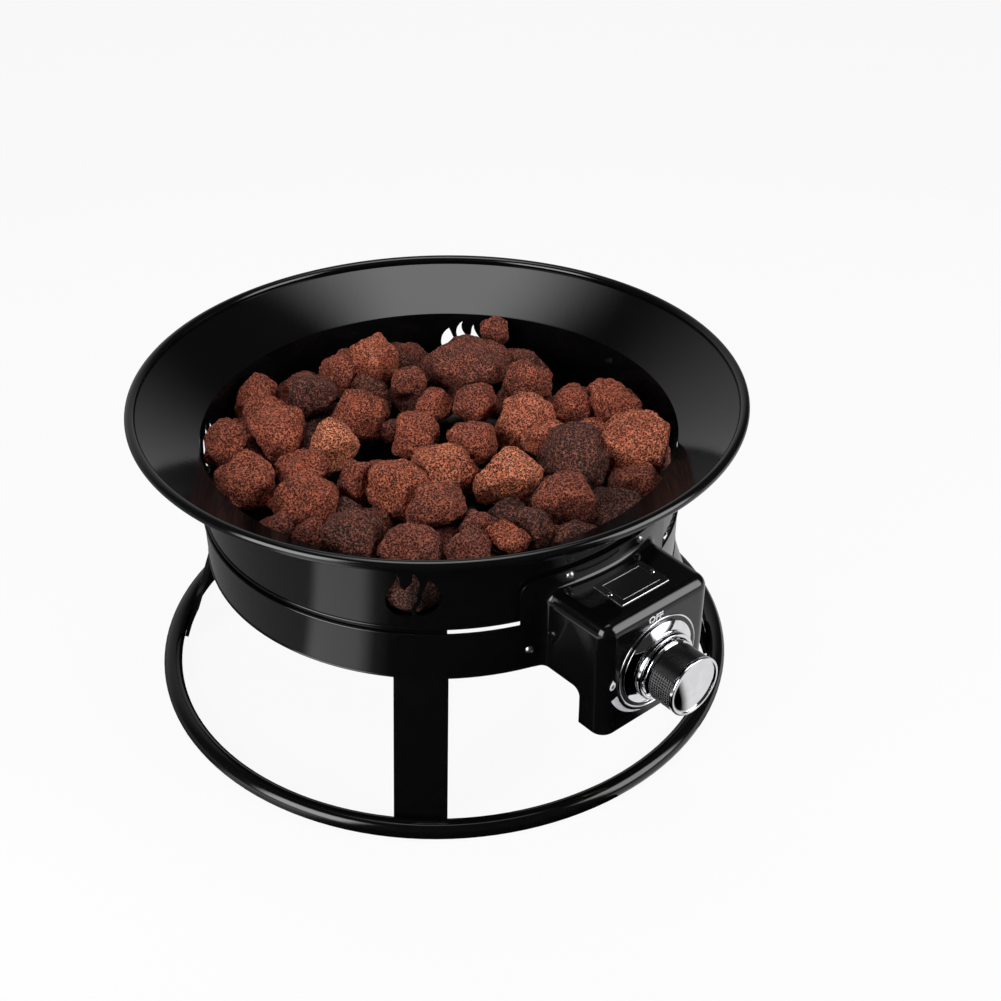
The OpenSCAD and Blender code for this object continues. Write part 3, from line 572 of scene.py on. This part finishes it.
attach(housing, "stand_and_bowl")
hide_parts("control_housing")

# ---------------------------------------------------------------------------------------
# The nameplate. A thin plate with cut edges and an engraved frame that show bare metal,
# black between them and left blank, held by two rivets.
plate_middle = 0.2195
plate_half_width = 0.024
plate_half_depth = 0.015
plate_face = housing_top + 0.0008
plate_border = 0.0042
groove_width = 0.0003
groove_depth = 0.0002
plate_metal = bare_metal("cut_plate_edge", (0.62, 0.62, 0.64), 0.25, 0.4, 0.1)
plate_black = enamel("plate_black", (0.012, 0.012, 0.013), 0.3, 0.42, 0.06)

plate = add_cube("blank_nameplate",
                 (-plate_half_width, ahead(plate_middle + plate_half_depth), housing_top),
                 (plate_half_width, ahead(plate_middle - plate_half_depth), plate_face))
plate.data.materials.append(plate_black)
plate.data.materials.append(plate_metal)
begin_edit("faces")
choose("faces", lambda face: face.normal.z > 0.9)
bpy.ops.mesh.inset(thickness=plate_border, depth=0)
bpy.ops.transform.resize(value=(0.925, 1, 1), center_override=(0, ahead(plate_middle), 0))
bpy.ops.mesh.inset(thickness=groove_width, depth=-groove_depth)
bpy.ops.mesh.inset(thickness=groove_width, depth=groove_depth)
choose("faces", lambda face: 0.1 < face.normal.z < 0.95)
plate.active_material_index = 1
bpy.ops.object.material_slot_assign()
choose("edges", lambda edge: along(edge, 2))
bpy.ops.mesh.bevel(offset=0.0015, segments=4, affect="EDGES")
choose("edges", lambda edge: close_to(middle(edge).z, plate_face, hair)
       and any(abs(face.normal.z) < 0.1 for face in edge.link_faces))
bpy.ops.mesh.bevel(offset=0.00025, segments=1, affect="EDGES")
choose("faces", lambda face: 0.5 < face.normal.z < 0.9 or abs(face.normal.z) < 0.1)
bpy.ops.object.material_slot_assign()
bpy.ops.object.mode_set(mode="OBJECT")
smooth_sheet(plate, 20)
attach(plate, "stand_and_bowl")
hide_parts("nameplate")

# ---------------------------------------------------------------------------------------
# The knob's bezel. A chromed skirt pressed from sheet, screwed down on the housing by the
# valve's neck: a low cone, a step, and a short neck round the collar.
knob_height = 0.1325
chrome = bare_metal("polished_chrome", (0.86, 0.86, 0.88), 0.03, 0.07, 0.01, 0.93)
give(["nameplate_rivets"], chrome)


def turned(name, profile, steps, material, upright=False):
    """Turns a profile of radius and distance from the bowl's axis round the knob's axis, or
    an upright profile of radius and height round the bowl's axis."""
    points = [Vector((0, ahead(radius), reach) if upright else (radius, ahead(reach), knob_height))
              for radius, reach in profile]
    bpy.ops.object.select_all(action="DESELECT")
    bpy.ops.mesh.primitive_plane_add(size=0.001, location=(0, 0, 0))
    piece = bpy.context.object
    piece.name = name
    begin_edit("verts")
    bpy.ops.mesh.merge(type="CENTER")
    bpy.ops.mesh.select_all(action="SELECT")
    bpy.ops.transform.translate(value=points[0])
    for point, following in zip(points, points[1:]):
        bpy.ops.mesh.extrude_vertices_move(TRANSFORM_OT_translate={"value": following - point})
    bpy.ops.mesh.select_all(action="SELECT")
    if upright:
        bpy.ops.mesh.spin(steps=steps, angle=2 * math.pi, center=(0, axis_y, 0), axis=(0, 0, 1))
    else:
        bpy.ops.mesh.spin(steps=steps, angle=2 * math.pi, center=(0, 0, knob_height), axis=(0, 1, 0))
    bpy.ops.mesh.select_all(action="SELECT")
    bpy.ops.mesh.remove_doubles(threshold=hair)
    bpy.ops.mesh.normals_make_consistent(inside=False)
    bpy.ops.object.mode_set(mode="OBJECT")
    piece.data.materials.append(material)
    smooth_sheet(piece, 40)
    return piece


def bend(centre, radius, first, last, steps=4):
    """Points on an arc in a profile. Angle 0 is away from the knob's axis, 90 is forward."""
    angles = [math.radians(first + (last - first) * step / steps) for step in range(steps + 1)]
    return [(centre[0] + radius * math.cos(angle), centre[1] + radius * math.sin(angle))
            for angle in angles]


front_face = 0.24952
skirt_rise = math.tan(math.radians(28))
bezel = turned("chromed_bezel", [
    (0.0088, front_face), (0.034, front_face),
    *bend((0.0334, 0.2505), 0.0006, 0, 62, 3),
    (0.0280, 0.2511 + 0.0054 * skirt_rise),
    *bend((0.0277, 0.2548), 0.0006, -60, -150, 2),
    *bend((0.0264, 0.2585), 0.0008, 10, 90, 4),
    *bend((0.0248, 0.2588), 0.0005, 90, 180, 3),
    (0.0243, 0.2503), (0.0088, 0.2503), (0.0088, front_face)], 96, chrome)
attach(bezel, "stand_and_bowl")
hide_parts("knob_bezel")

# ---------------------------------------------------------------------------------------
# The dial's ring. A narrow half-round bead of chromed trim that frames the dial. It is
# fixed flat on the housing's front, just outside the bezel.
ring_radius = 0.0377
ring_bead = 0.0007
ring = turned("chromed_dial_ring", [
    (ring_radius - ring_bead, front_face), (ring_radius + ring_bead, front_face),
    *bend((ring_radius, front_face), ring_bead, 8, 172, 8),
    (ring_radius - ring_bead, front_face)], 128, chrome)
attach(ring, "stand_and_bowl")
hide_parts("dial_ring")

# ---------------------------------------------------------------------------------------
# The knob. Black moulded plastic with a fine raised grid round the grip, a chromed dome
# pressed over its front, and a chromed collar behind it. All three turn on the valve's stem.
grip_columns = 66
grip_rows = 9
grip_radius = 0.0225
knurl_back = 0.2641
knurl_front = 0.2836
stud_area = 0.000002
smooth_stretch = math.radians(58)

moulded = enamel("moulded_black_plastic", (0.006, 0.006, 0.006), 0.2, 0.3, 0.15)
row_step = (knurl_front - knurl_back) / grip_rows
grip = turned("knurled_grip", [
    (0.0045, 0.2583), (0.0098, 0.2583), (0.0098, 0.2632), (0.0218, 0.2632), (grip_radius, 0.2638),
    *[(grip_radius, knurl_back + row * row_step) for row in range(grip_rows + 1)],
    (0.0222, 0.2839), (0.0045, 0.2839), (0.0045, 0.2583)], grip_columns, moulded)
pick(grip)
# Painted highlight: the narrow furrows between the studs are pale grey, standing in for light on the
# studs' sides.
grip.data.materials.append(enamel("knurl_furrows", (0.13, 0.13, 0.135), 0.35, 0.45, 0.1))
begin_edit("faces")


def on_grip(face):
    place = middle(face)
    reach = math.hypot(place.x, place.z - knob_height)
    return reach > 0.0222 and abs(face.normal.y) < 0.1 and ahead(0.2837) < place.y < ahead(0.264)


def in_knurled_zone(face):
    """The grip's faces, apart from the stretch on top that stays smooth."""
    rise = (middle(face).z - knob_height) / grip_radius
    return on_grip(face) and rise < math.cos(smooth_stretch)


choose("faces", on_grip)
bpy.ops.mesh.extrude_region_shrink_fatten(TRANSFORM_OT_shrink_fatten={"value": 0.0004})
choose("faces", in_knurled_zone)
bpy.ops.mesh.inset(thickness=0.0003, depth=0, use_individual=True)
# The furrows get the pale grey of the painted highlight.
choose("faces", lambda face: in_knurled_zone(face) and face.calc_area() < stud_area)
grip.active_material_index = 1
bpy.ops.object.material_slot_assign()
choose("faces", lambda face: in_knurled_zone(face) and face.calc_area() > stud_area)
bpy.ops.mesh.inset(thickness=0.00018, depth=0.0003, use_individual=True)
bpy.ops.object.mode_set(mode="OBJECT")
smooth_sheet(grip, 20)
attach(grip, "knob")
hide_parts("knob_grip")

dome_radius = 0.112
dome_edge = 0.0206
dome_turn = math.degrees(math.asin(dome_edge / dome_radius))
cap = turned("chromed_knob_cap", [
    (0, 0.28405), *bend((0.0231, 0.28445), 0.0004, -90, 0, 3),
    *bend((0.0229, 0.2864), 0.0006, 0, 90, 4), (0.0218, 0.2870),
    *bend((0.0217, 0.2866), 0.0004, 90, 180, 3), (0.0213, 0.2860), (0.0207, 0.2860),
    *bend((0, 0.2879 - dome_radius), dome_radius, 90 - dome_turn, 90, 12)], 96, chrome)
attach(cap, "knob")
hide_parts("knob_cap")

collar = turned("chromed_collar", [
    (0.0162, 0.2578), (0.0222, 0.2578), (0.0222, 0.2594), *bend((0.0226, 0.2611), 0.0011, -60, 60, 6),
    (0.0222, 0.2629), (0.0162, 0.2629), (0.0162, 0.2578)], 96, chrome)
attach(collar, "knob")
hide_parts("knob_collar")

# ---------------------------------------------------------------------------------------
# The dial's marks. OFF over the knob with two ticks under it, and a small flame and a wedge
# that narrows towards low. They are printed in pale ink on the housing's front.
print_depth = 0.00025
off_left = -0.0114
off_foot = 0.1717
off_height = 0.0053
flame_middle = (-0.0440, 0.1334)
wedge_from = 107
wedge_to = 160
wedge_steps = 18
tick_middle = off_left + 0.0064
tick_apart = 0.0068
tick_foot = 0.1679
tick_half_width = 0.0012
tick_height = 0.0006


def ink(name):
    """Pale screen print, thin enough in places for the enamel to show."""
    material, tree = blank_material(name)
    place = put(tree, "TexCoord").outputs["Object"]
    thin = put(tree, "TexNoise", {"Vector": place, "Scale": 1100, "Detail": 2})
    cover = put(tree, "MapRange", {"Value": thin.outputs["Fac"], "From Min": 0.3, "From Max": 0.45,
                                   "To Min": 0.8, "To Max": 1})
    colour = put(tree, "VectorMath", {0: (0.95, 0.95, 1.0), "Scale": cover.outputs[0]},
                 operation="SCALE")
    bump = put(tree, "Bump", {"Strength": 0.1, "Distance": 0.0001, "Height": thin.outputs["Fac"]})
    shader = put(tree, "BsdfPrincipled", {"Base Color": colour.outputs[0], "Roughness": 0.35,
                                          "Normal": bump.outputs[0]})
    finish_surface(tree, shader)
    return material


def printed_shape(name, outline):
    """A flat printed shape from an outline of x and z on the housing's front."""
    bpy.ops.object.select_all(action="DESELECT")
    bpy.ops.mesh.primitive_circle_add(vertices=len(outline), radius=0.01, fill_type="NGON")
    shape = bpy.context.object
    shape.name = name
    for vertex, (x, z) in zip(shape.data.vertices, outline):
        vertex.co = (x, ahead(housing_front), z)
    return shape


def flame_outline():
    tongue = [(0.2, 6), (1.4, 3.4), (3.2, 1.4), (3.5, -0.9), (2.7, -3.3), (0.9, -4.8), (-1.2, -4.8),
              (-2.9, -3.4), (-3.5, -1.1), (-2.8, 1.0), (-1.8, 2.6), (-0.6, 4.4)]
    heart = [(0, 1.6), (-1.3, -0.4), (-1.5, -1.9), (-0.5, -3.1), (0.6, -3.1), (1.6, -1.8), (1.5, -0.3),
             (0.6, 0.9)]
    outline = tongue + tongue[:1] + heart + heart[:1]
    return [(flame_middle[0] + 0.0008 * x, flame_middle[1] + 0.0008 * z) for x, z in outline]


def wedge_outline():
    inner, outer = [], []
    for step in range(wedge_steps + 1):
        share = step / wedge_steps
        turn = math.radians(wedge_from + (wedge_to - wedge_from) * share)
        for line, radius in ((inner, 0.0406), (outer, 0.0409 + 0.0055 * (1 - share))):
            line.append((-radius * math.sin(turn), knob_height + radius * math.cos(turn)))
    return inner + outer[::-1]


bpy.ops.object.select_all(action="DESELECT")
bpy.ops.object.text_add(rotation=(math.pi / 2, 0, 0))
marks = bpy.context.object
marks.name = "dial_print"
marks.data.body = "OFF"
marks.data.size = off_height / 0.69
marks.data.space_character = 1.05
marks.data.offset = 0.00027
marks.location = (off_left, ahead(housing_front), off_foot)
bpy.ops.object.convert(target="MESH")
bpy.ops.object.transform_apply(location=True, rotation=True, scale=True)
printed = [marks, printed_shape("flame_mark", flame_outline()),
           printed_shape("wedge_mark", wedge_outline())]
for side in (-0.5, 0.5):
    tick = [(tick_middle + side * tick_apart + x, tick_foot + z) for x, z in
            ((-tick_half_width, 0), (tick_half_width, 0),
             (tick_half_width, tick_height), (-tick_half_width, tick_height))]
    printed.append(printed_shape("tick_mark", tick))
pick(*printed)
bpy.ops.object.join()
bpy.ops.object.mode_set(mode="EDIT")
bpy.ops.mesh.select_all(action="SELECT")
bpy.ops.mesh.remove_doubles(threshold=hair)
bpy.ops.mesh.extrude_region_move(TRANSFORM_OT_translate={"value": (0, -print_depth, 0)})
bpy.ops.mesh.select_all(action="SELECT")
bpy.ops.mesh.normals_make_consistent(inside=False)
bpy.ops.object.mode_set(mode="OBJECT")
marks.data.materials.clear()
marks.data.materials.append(ink("pale_ink"))
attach(marks, "stand_and_bowl")
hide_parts("dial_markings")

# ---------------------------------------------------------------------------------------
# The valve's spring. A coil of grey steel wire round the stem, which pushes the cup and the knob out
# again.
spring_low, spring_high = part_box("valve_spring")
coil_turns = 5
wire_radius = 0.0008
coil_radius = 0.0069
spring_length = spring_high.y - spring_low.y
coil_length = spring_length - 2 * wire_radius
bpy.ops.object.select_all(action="DESELECT")
bpy.ops.mesh.primitive_circle_add(vertices=10, radius=wire_radius, location=(0, 0, 0), fill_type="NGON")
coil = bpy.context.object
coil.name = "coiled_spring"
begin_edit("verts")
bpy.ops.mesh.select_all(action="SELECT")
bpy.ops.transform.translate(value=(coil_radius, 0, 0))
bpy.ops.mesh.delete(type="ONLY_FACE")
bpy.ops.object.mode_set(mode="OBJECT")
add_step(coil, "SCREW", axis="Y", angle=2 * math.pi, screw_offset=coil_length / coil_turns,
         iterations=coil_turns, steps=36, render_steps=36, use_merge_vertices=False)
begin_edit("edges")
choose("edges", lambda edge: edge.is_boundary)
bpy.ops.mesh.edge_face_add()
bpy.ops.mesh.select_all(action="SELECT")
bpy.ops.mesh.normals_make_consistent(inside=False)
bpy.ops.transform.translate(value=(0, spring_low.y + wire_radius, knob_height))
bpy.ops.object.mode_set(mode="OBJECT")
coil.data.materials.append(bare_metal("spring_wire", (0.4, 0.4, 0.41), 0.28, 0.4, 0.1, 0.8))
smooth_sheet(coil, 50)
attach(coil, "stand_and_bowl")
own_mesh(coil)
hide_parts("valve_spring")

# ---------------------------------------------------------------------------------------
# The housing's screws. Four zinc plated machine screws with domed heads and a cross recess
# go through the flange and the bowl's sheet, two above and two below.
head_foot = flange_radius + 0.0001
head_rise = 0.0022
head_radius = 0.0032
screw_places = ((10.1, 0.193, 0.1905), (19.3, 0.136, 0.1915))
dome = (head_radius ** 2 + head_rise ** 2) / (2 * head_rise)
brow = math.degrees(math.asin(head_radius / dome))
recess_floor = 0.0010
recess_half = (0.0019, 0.0004)
dull_zinc = bare_metal("dull_zinc", (0.7, 0.7, 0.72), 0.3, 0.42, 0.1, 0.85)


def screw(name, height, clamp, turn):
    """One screw at that height, whose shank ends 5 mm behind the clamped sheet."""
    piece = turned(name, [
        (0, clamp - 0.005), (0.0018, clamp - 0.005), (0.002, clamp - 0.0048), (0.002, head_foot),
        (head_radius, head_foot), *bend((0, head_foot + head_rise - dome), dome, 90 - brow, 90, 6)],
        32, dull_zinc)
    arms = [add_cube("recess", (-half_x, ahead(head_foot + 0.003), knob_height - half_z),
                     (half_x, ahead(head_foot + recess_floor), knob_height + half_z))
            for half_x, half_z in (recess_half, recess_half[::-1])]
    for arm in arms:
        add_step(piece, "BOOLEAN", object=arm, operation="DIFFERENCE", solver="EXACT")
        bpy.data.objects.remove(arm)
    around_knob = Matrix.Translation((0, 0, knob_height))
    piece.data.transform(around_knob @ Matrix.Rotation(turn, 4, "Y") @ around_knob.inverted())
    piece.data.transform(Matrix.Translation((0, 0, height - knob_height)))
    return piece


# Each screw's cross stops at another angle, so the turn just has to differ.
screws = []
around = Matrix.Translation((0, axis_y, 0))
for azimuth, height, clamp in screw_places:
    for side in (-1, 1):
        one = screw("cross_head_screws", height, clamp, 0.5 + azimuth * side)
        round_bowl = Matrix.Rotation(math.radians(side * azimuth), 4, "Z")
        one.data.transform(around @ round_bowl @ around.inverted())
        screws.append(one)
pick(*screws)
bpy.ops.object.join()
smooth_sheet(screws[0], 30)
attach(screws[0], "stand_and_bowl")
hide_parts("housing_screws")

# ---------------------------------------------------------------------------------------
# The flared rim. Spun from steel sheet, with its edge rolled into a bead, and pressed into
# the bowl's mouth by its neck. It is enamelled inside and out.
neck_radius = 0.189
neck_sheet = 0.0012
mouth_height = 0.2193
flare_foot = (0.19101, 0.21974)
bead_middle = (0.2373, 0.2513)
bead_radius = 0.00399
rim = turned("spun_rim", [
    (neck_radius, mouth_height - 0.005), (neck_radius + neck_sheet, mouth_height - 0.005),
    (neck_radius + neck_sheet, mouth_height + 0.0001), flare_foot,
    *bend(bead_middle, bead_radius, -125.2, 212.8, 48),
    (neck_radius + neck_sheet, mouth_height + 0.0017), (neck_radius, mouth_height + 0.0008),
    (neck_radius, mouth_height - 0.005)], 240, gloss_black, upright=True)
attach(rim, "stand_and_bowl")
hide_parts("flared_rim")

# ---------------------------------------------------------------------------------------
# The lava rock. Broken stones of porous red-brown lava, laid two deep in the bowl by hand. They lie
# loose, and no two have the same shape or shade. The lower layer's stones are given dark shades,
# painted shade in the gaps between the top stones.
stone_grain = 0.0011
under_grain = 0.0022
under_swell = 1.14
chips = 12

# The top layer's stones, stone by stone: its middle to the right of the bowl's axis and
# behind it, how far it is moved to the right and up as the camera sees it, how much wider
# and taller it is than the plain one, and its shade from 0, dark and purple, to 1, light
# and orange. Places and moves are in millimetres.
top_layer = [
    (-75, 155, 0, 0, 1.10, 1.15, 0.45), (-90, 115, 0, 2, 1.00, 1.10, 0.50),
    (-45, 115, 0, 4, 0.98, 1.10, 0.08), (0, 140, 0, 3, 0.95, 1.10, 0.40),
    (35, 125, -10, -4, 1.05, 1.75, 0.62), (-35, 65, 0, 3, 1.00, 1.05, 0.45),
    (0, 95, -3, -14, 0.90, 0.90, 0.30), (45, 85, -10, 4, 0.75, 1.00, 0.30),
    (85, 140, -9, -15, 0.85, 0.90, 0.30), (-110, 145, 4, -13, 0.80, 0.80, 0.40),
    (-140, 95, -1, 7, 1.00, 1.05, 0.42), (-155, 40, -2, 4, 1.00, 1.00, 0.45),
    (-95, 80, -4, 4, 1.02, 1.25, 0.55), (-75, 45, 0, 4, 1.00, 0.95, 0.90),
    (-115, 25, 0, 4, 0.98, 0.85, 0.50), (-95, -15, 1, 1, 0.92, 1.35, 0.42),
    (-130, -15, -6, 4, 1.28, 1.10, 0.50), (-130, -75, -9, 4, 1.12, 0.95, 0.12),
    (-160, -45, 6, 6, 0.90, 0.90, 0.30), (-100, -50, 0, -6, 0.85, 0.90, 0.20),
    (-75, -45, -2, 2, 1.12, 1.35, 0.62), (-110, -110, -3, 4, 1.05, 0.95, 0.26),
    (-70, -85, 1, 5, 1.00, 1.05, 0.38), (0, -85, 3, 2, 0.96, 1.05, 0.85),
    (10, -140, -2, 8, 0.98, 1.30, 0.35), (-30, -145, 0, 8, 1.05, 0.90, 0.06),
    (-55, -145, 0, 7, 1.15, 1.00, 0.55), (-80, -140, 0, 6, 1.10, 1.00, 0.24),
    (-50, -115, -5, 2, 1.15, 1.00, 0.25), (-30, -40, 1, 2, 1.05, 1.05, 0.72),
    (-10, 10, -5, 8, 1.02, 1.15, 0.52), (25, 45, 3, 9, 0.78, 0.90, 0.50),
    (-15, 40, -3, 0, 0.62, 0.80, 0.28), (50, 15, -1, 8, 0.88, 0.95, 0.36),
    (15, -25, -1, 6, 1.00, 1.05, 0.45), (-60, 5, 2, -12, 0.80, 0.85, 0.25),
    (90, 80, 4, -4, 1.25, 1.00, 0.22), (145, 105, 1, 13, 0.90, 1.05, 0.30),
    (110, 20, 0, 9, 0.90, 1.00, 0.38), (140, 50, -5, 4, 0.90, 0.95, 0.12),
    (70, -20, 3, 2, 1.05, 1.00, 0.70), (110, -30, 4, 1, 1.05, 1.15, 0.42),
    (145, -55, -8, 4, 0.95, 1.10, 0.55), (65, -60, -2, 6, 1.05, 1.10, 0.66),
    (60, -100, -3, 5, 1.05, 1.05, 0.05), (100, -120, -1, 4, 1.14, 1.40, 0.68),
    (160, 5, 0, -20, 0.80, 0.80, 0.30), (75, 50, 0, -8, 0.80, 0.80, 0.30),
    (30, -60, 0, -12, 0.85, 0.90, 0.35), (100, -70, -3, 3, 0.95, 1.05, 0.60),
]


def stone_texture(name, kind, size, **settings):
    texture = bpy.data.textures.new(name, kind)
    texture.noise_scale = size
    for key, value in settings.items():
        setattr(texture, key, value)
    return texture


def keep_low(texture, low, high):
    """Makes a texture 0 below the first value and 1 above the second."""
    texture.use_color_ramp = True
    first, last = texture.color_ramp.elements
    first.position = low
    first.color = (0, 0, 0, 1)
    last.position = high
    last.color = (1, 1, 1, 1)


lumps = stone_texture("stone_lumps", "CLOUDS", 0.016, noise_depth=2)
hollows = stone_texture("stone_hollows", "VORONOI", 0.0075)
pores = stone_texture("stone_pores", "VORONOI", 0.0030)
keep_low(hollows, 0.1, 0.55)
keep_low(pores, 0.15, 0.5)
stone_relief = ((lumps, 0.006, 0.5), (hollows, 0.0009, 0.7), (pores, 0.0008, 0.8))


def break_stone(stone, centre, dice, blows):
    """Breaks flat faces off a stone with that many blows, from round about."""
    corners = [vertex.co - centre for vertex in stone.data.vertices]
    pick(stone)
    bpy.ops.object.mode_set(mode="EDIT")
    for blow in range(blows):
        direction = Vector([dice.gauss(0, 1) for axis in range(3)]).normalized()
        reach = max(corner.dot(direction) for corner in corners)
        bpy.ops.mesh.select_all(action="SELECT")
        bpy.ops.mesh.bisect(plane_co=centre + direction * reach * dice.uniform(0.68, 0.92),
                            plane_no=direction, use_fill=True, clear_outer=True)
    bpy.ops.object.mode_set(mode="OBJECT")


def lava(name):
    """Red-brown by each stone's shade. Painted shade darkens the pores, and the ridges between them are
    pale, partly from dust and partly from painted highlight. What the gloss mirrors of the stones is
    painted darker.
    """
    material, tree = blank_material(name)
    place = put(tree, "TexCoord").outputs["Object"]
    tone = put(tree, "Attribute", attribute_name="stone_shade").outputs["Fac"]
    patches = put(tree, "TexNoise", {"Vector": place, "Scale": 60, "Detail": 5, "Roughness": 0.7})
    wander = put(tree, "Math", {0: patches.outputs["Fac"], 1: 0.8, 2: -0.4}, operation="MULTIPLY_ADD")
    shade = put(tree, "Math", {0: wander.outputs[0], 1: tone}, operation="ADD", use_clamp=True)
    colour = shade_ramp(tree, shade.outputs[0], [
        (0, (0.07, 0.02, 0.014)), (0.2, (0.17, 0.042, 0.026)), (0.55, (0.33, 0.07, 0.032)),
        (1, (0.62, 0.2, 0.1))])
    warp = put(tree, "TexNoise", {"Vector": place, "Scale": 400, "Detail": 2})
    bent = put(tree, "VectorMath", {0: warp.outputs["Color"], 1: (0.0013, 0.0013, 0.0013), 2: place},
               operation="MULTIPLY_ADD")
    openings = []
    for scale, low, high in ((620, 0.3, 0.6), (1150, 0.2, 0.5)):
        cells = put(tree, "TexVoronoi", {"Vector": bent.outputs[0], "Scale": scale})
        openings.append(put(tree, "MapRange", {"Value": cells.outputs["Distance"], "From Min": low,
                                               "From Max": high}))
    skin = put(tree, "Math", {0: openings[0].outputs[0], 1: openings[1].outputs[0]},
               operation="MULTIPLY")
    fine = put(tree, "TexNoise", {"Vector": place, "Scale": 2200, "Detail": 3})
    height = put(tree, "Math", {0: fine.outputs["Fac"], 1: 0.5, 2: skin.outputs[0]},
                 operation="MULTIPLY_ADD")
    # Painted shade and light: the colour is darkened nearly to black in the pores and brightened up to
    # twice over on the ridges.
    pore_shade_and_ridge_light = put(tree, "MapRange", {"Value": height.outputs[0], "From Min": 0.2, "From Max": 1.3,
                                 "To Min": 0.03, "To Max": 2.2})
    pore_shaded_colour = put(tree, "VectorMath", {0: colour, "Scale": pore_shade_and_ridge_light.outputs[0]}, operation="SCALE")
    # The highest ridges are mixed towards pale: partly dust, partly painted highlight.
    ridge = put(tree, "MapRange", {"Value": height.outputs[0], "From Min": 1.2, "From Max": 1.34,
                                   "To Min": 0, "To Max": 0.5})
    dust_and_ridge_highlight = put(tree, "Mix", {"Factor": ridge.outputs[0], "A": pore_shaded_colour.outputs[0],
                              "B": (0.7, 0.36, 0.24, 1)}, data_type="RGBA")
    bump = put(tree, "Bump", {"Strength": 1, "Distance": 0.0008, "Height": height.outputs[0]})
    # Painted shade in reflections: what the gloss mirrors of the stones is a fifth as bright as their
    # colour.
    mirrored = put(tree, "Math", {0: put(tree, "LightPath").outputs["Is Glossy Ray"], 1: -0.8, 2: 1},
                   operation="MULTIPLY_ADD")
    darkened_in_reflections = put(tree, "VectorMath", {0: dust_and_ridge_highlight.outputs["Result"], "Scale": mirrored.outputs[0]},
               operation="SCALE")
    shader = put(tree, "BsdfPrincipled", {"Base Color": darkened_in_reflections.outputs[0], "Roughness": 0.8,
                                          "Specular IOR Level": 0.4, "Normal": bump.outputs[0]})
    finish_surface(tree, shader)
    return material


lava_rock = lava("lava_rock")


def how_far(centre, row):
    """How far a stone's middle is, in plan, from the place in a row of the top layer."""
    return math.hypot(centre.x - row[0] / 1000, centre.y - axis_y - row[1] / 1000)


def lay_stones(node_name, grain):
    """Makes the stones of one CAD node into broken, porous ones, all in one piece."""
    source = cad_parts[node_name]
    stones = bpy.data.objects.new("broken_" + node_name, source.data.copy())
    bpy.context.scene.collection.objects.link(stones)
    pick(stones)
    bpy.ops.object.mode_set(mode="EDIT")
    bpy.ops.mesh.select_all(action="SELECT")
    bpy.ops.mesh.remove_doubles(threshold=0.00002)
    bpy.ops.mesh.customdata_custom_splitnormals_clear()
    bpy.ops.mesh.separate(type="LOOSE")
    bpy.ops.object.mode_set(mode="OBJECT")
    parts = sorted(bpy.context.selected_objects, key=lambda part: part.name)
    for number, part in enumerate(parts):
        dice = random.Random(f"{node_name} {number}")
        corners = [vertex.co for vertex in part.data.vertices]
        low = Vector([min(corner[axis] for corner in corners) for axis in range(3)])
        high = Vector([max(corner[axis] for corner in corners) for axis in range(3)])
        centre = (low + high) / 2
        # A lower stone keeps this dark shade, from -0.1 to 0.3: painted shade in the gaps between the
        # top stones. A top stone takes its shade from the table.
        move, wide, tall, shade = Vector(), 1, 1, dice.uniform(-0.1, 0.3)
        if "lower" in node_name:
            wide, tall = under_swell, under_swell
        else:
            nearest = min(top_layer, key=lambda row: how_far(centre, row))
            right, up, wide, tall, shade = nearest[2:]
            move = Vector((right * math.cos(camera_azimuth),
                           right * math.sin(camera_azimuth), up)) / 1000
        swell = Matrix.Diagonal((wide, wide, tall, 1))
        part.data.transform(Matrix.Translation(centre + move) @ swell @ Matrix.Translation(-centre))
        centre += move
        break_stone(part, centre, dice, chips)
        add_step(part, "REMESH", mode="VOXEL", voxel_size=grain)
        add_step(part, "SMOOTH", factor=0.5, iterations=round(0.004 / grain))
        for texture, depth, level in stone_relief:
            add_step(part, "DISPLACE", texture=texture, strength=depth, mid_level=level)
        layer = part.data.attributes.new("stone_shade", "FLOAT", "POINT")
        layer.data.foreach_set("value", [shade] * len(part.data.vertices))
        part.data.materials.clear()
        part.data.materials.append(lava_rock)
    pick(stones, *parts)
    bpy.ops.object.join()
    bpy.ops.object.shade_smooth()
    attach(stones, "stand_and_bowl")
    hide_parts(node_name)


for node_name in ("rocks_back", "rocks_left", "rocks_front", "rocks_right"):
    lay_stones(node_name, stone_grain)
lay_stones("rocks_middle", stone_grain)
for node_name in ("rocks_lower_outer", "rocks_lower_inner"):
    lay_stones(node_name, under_grain)
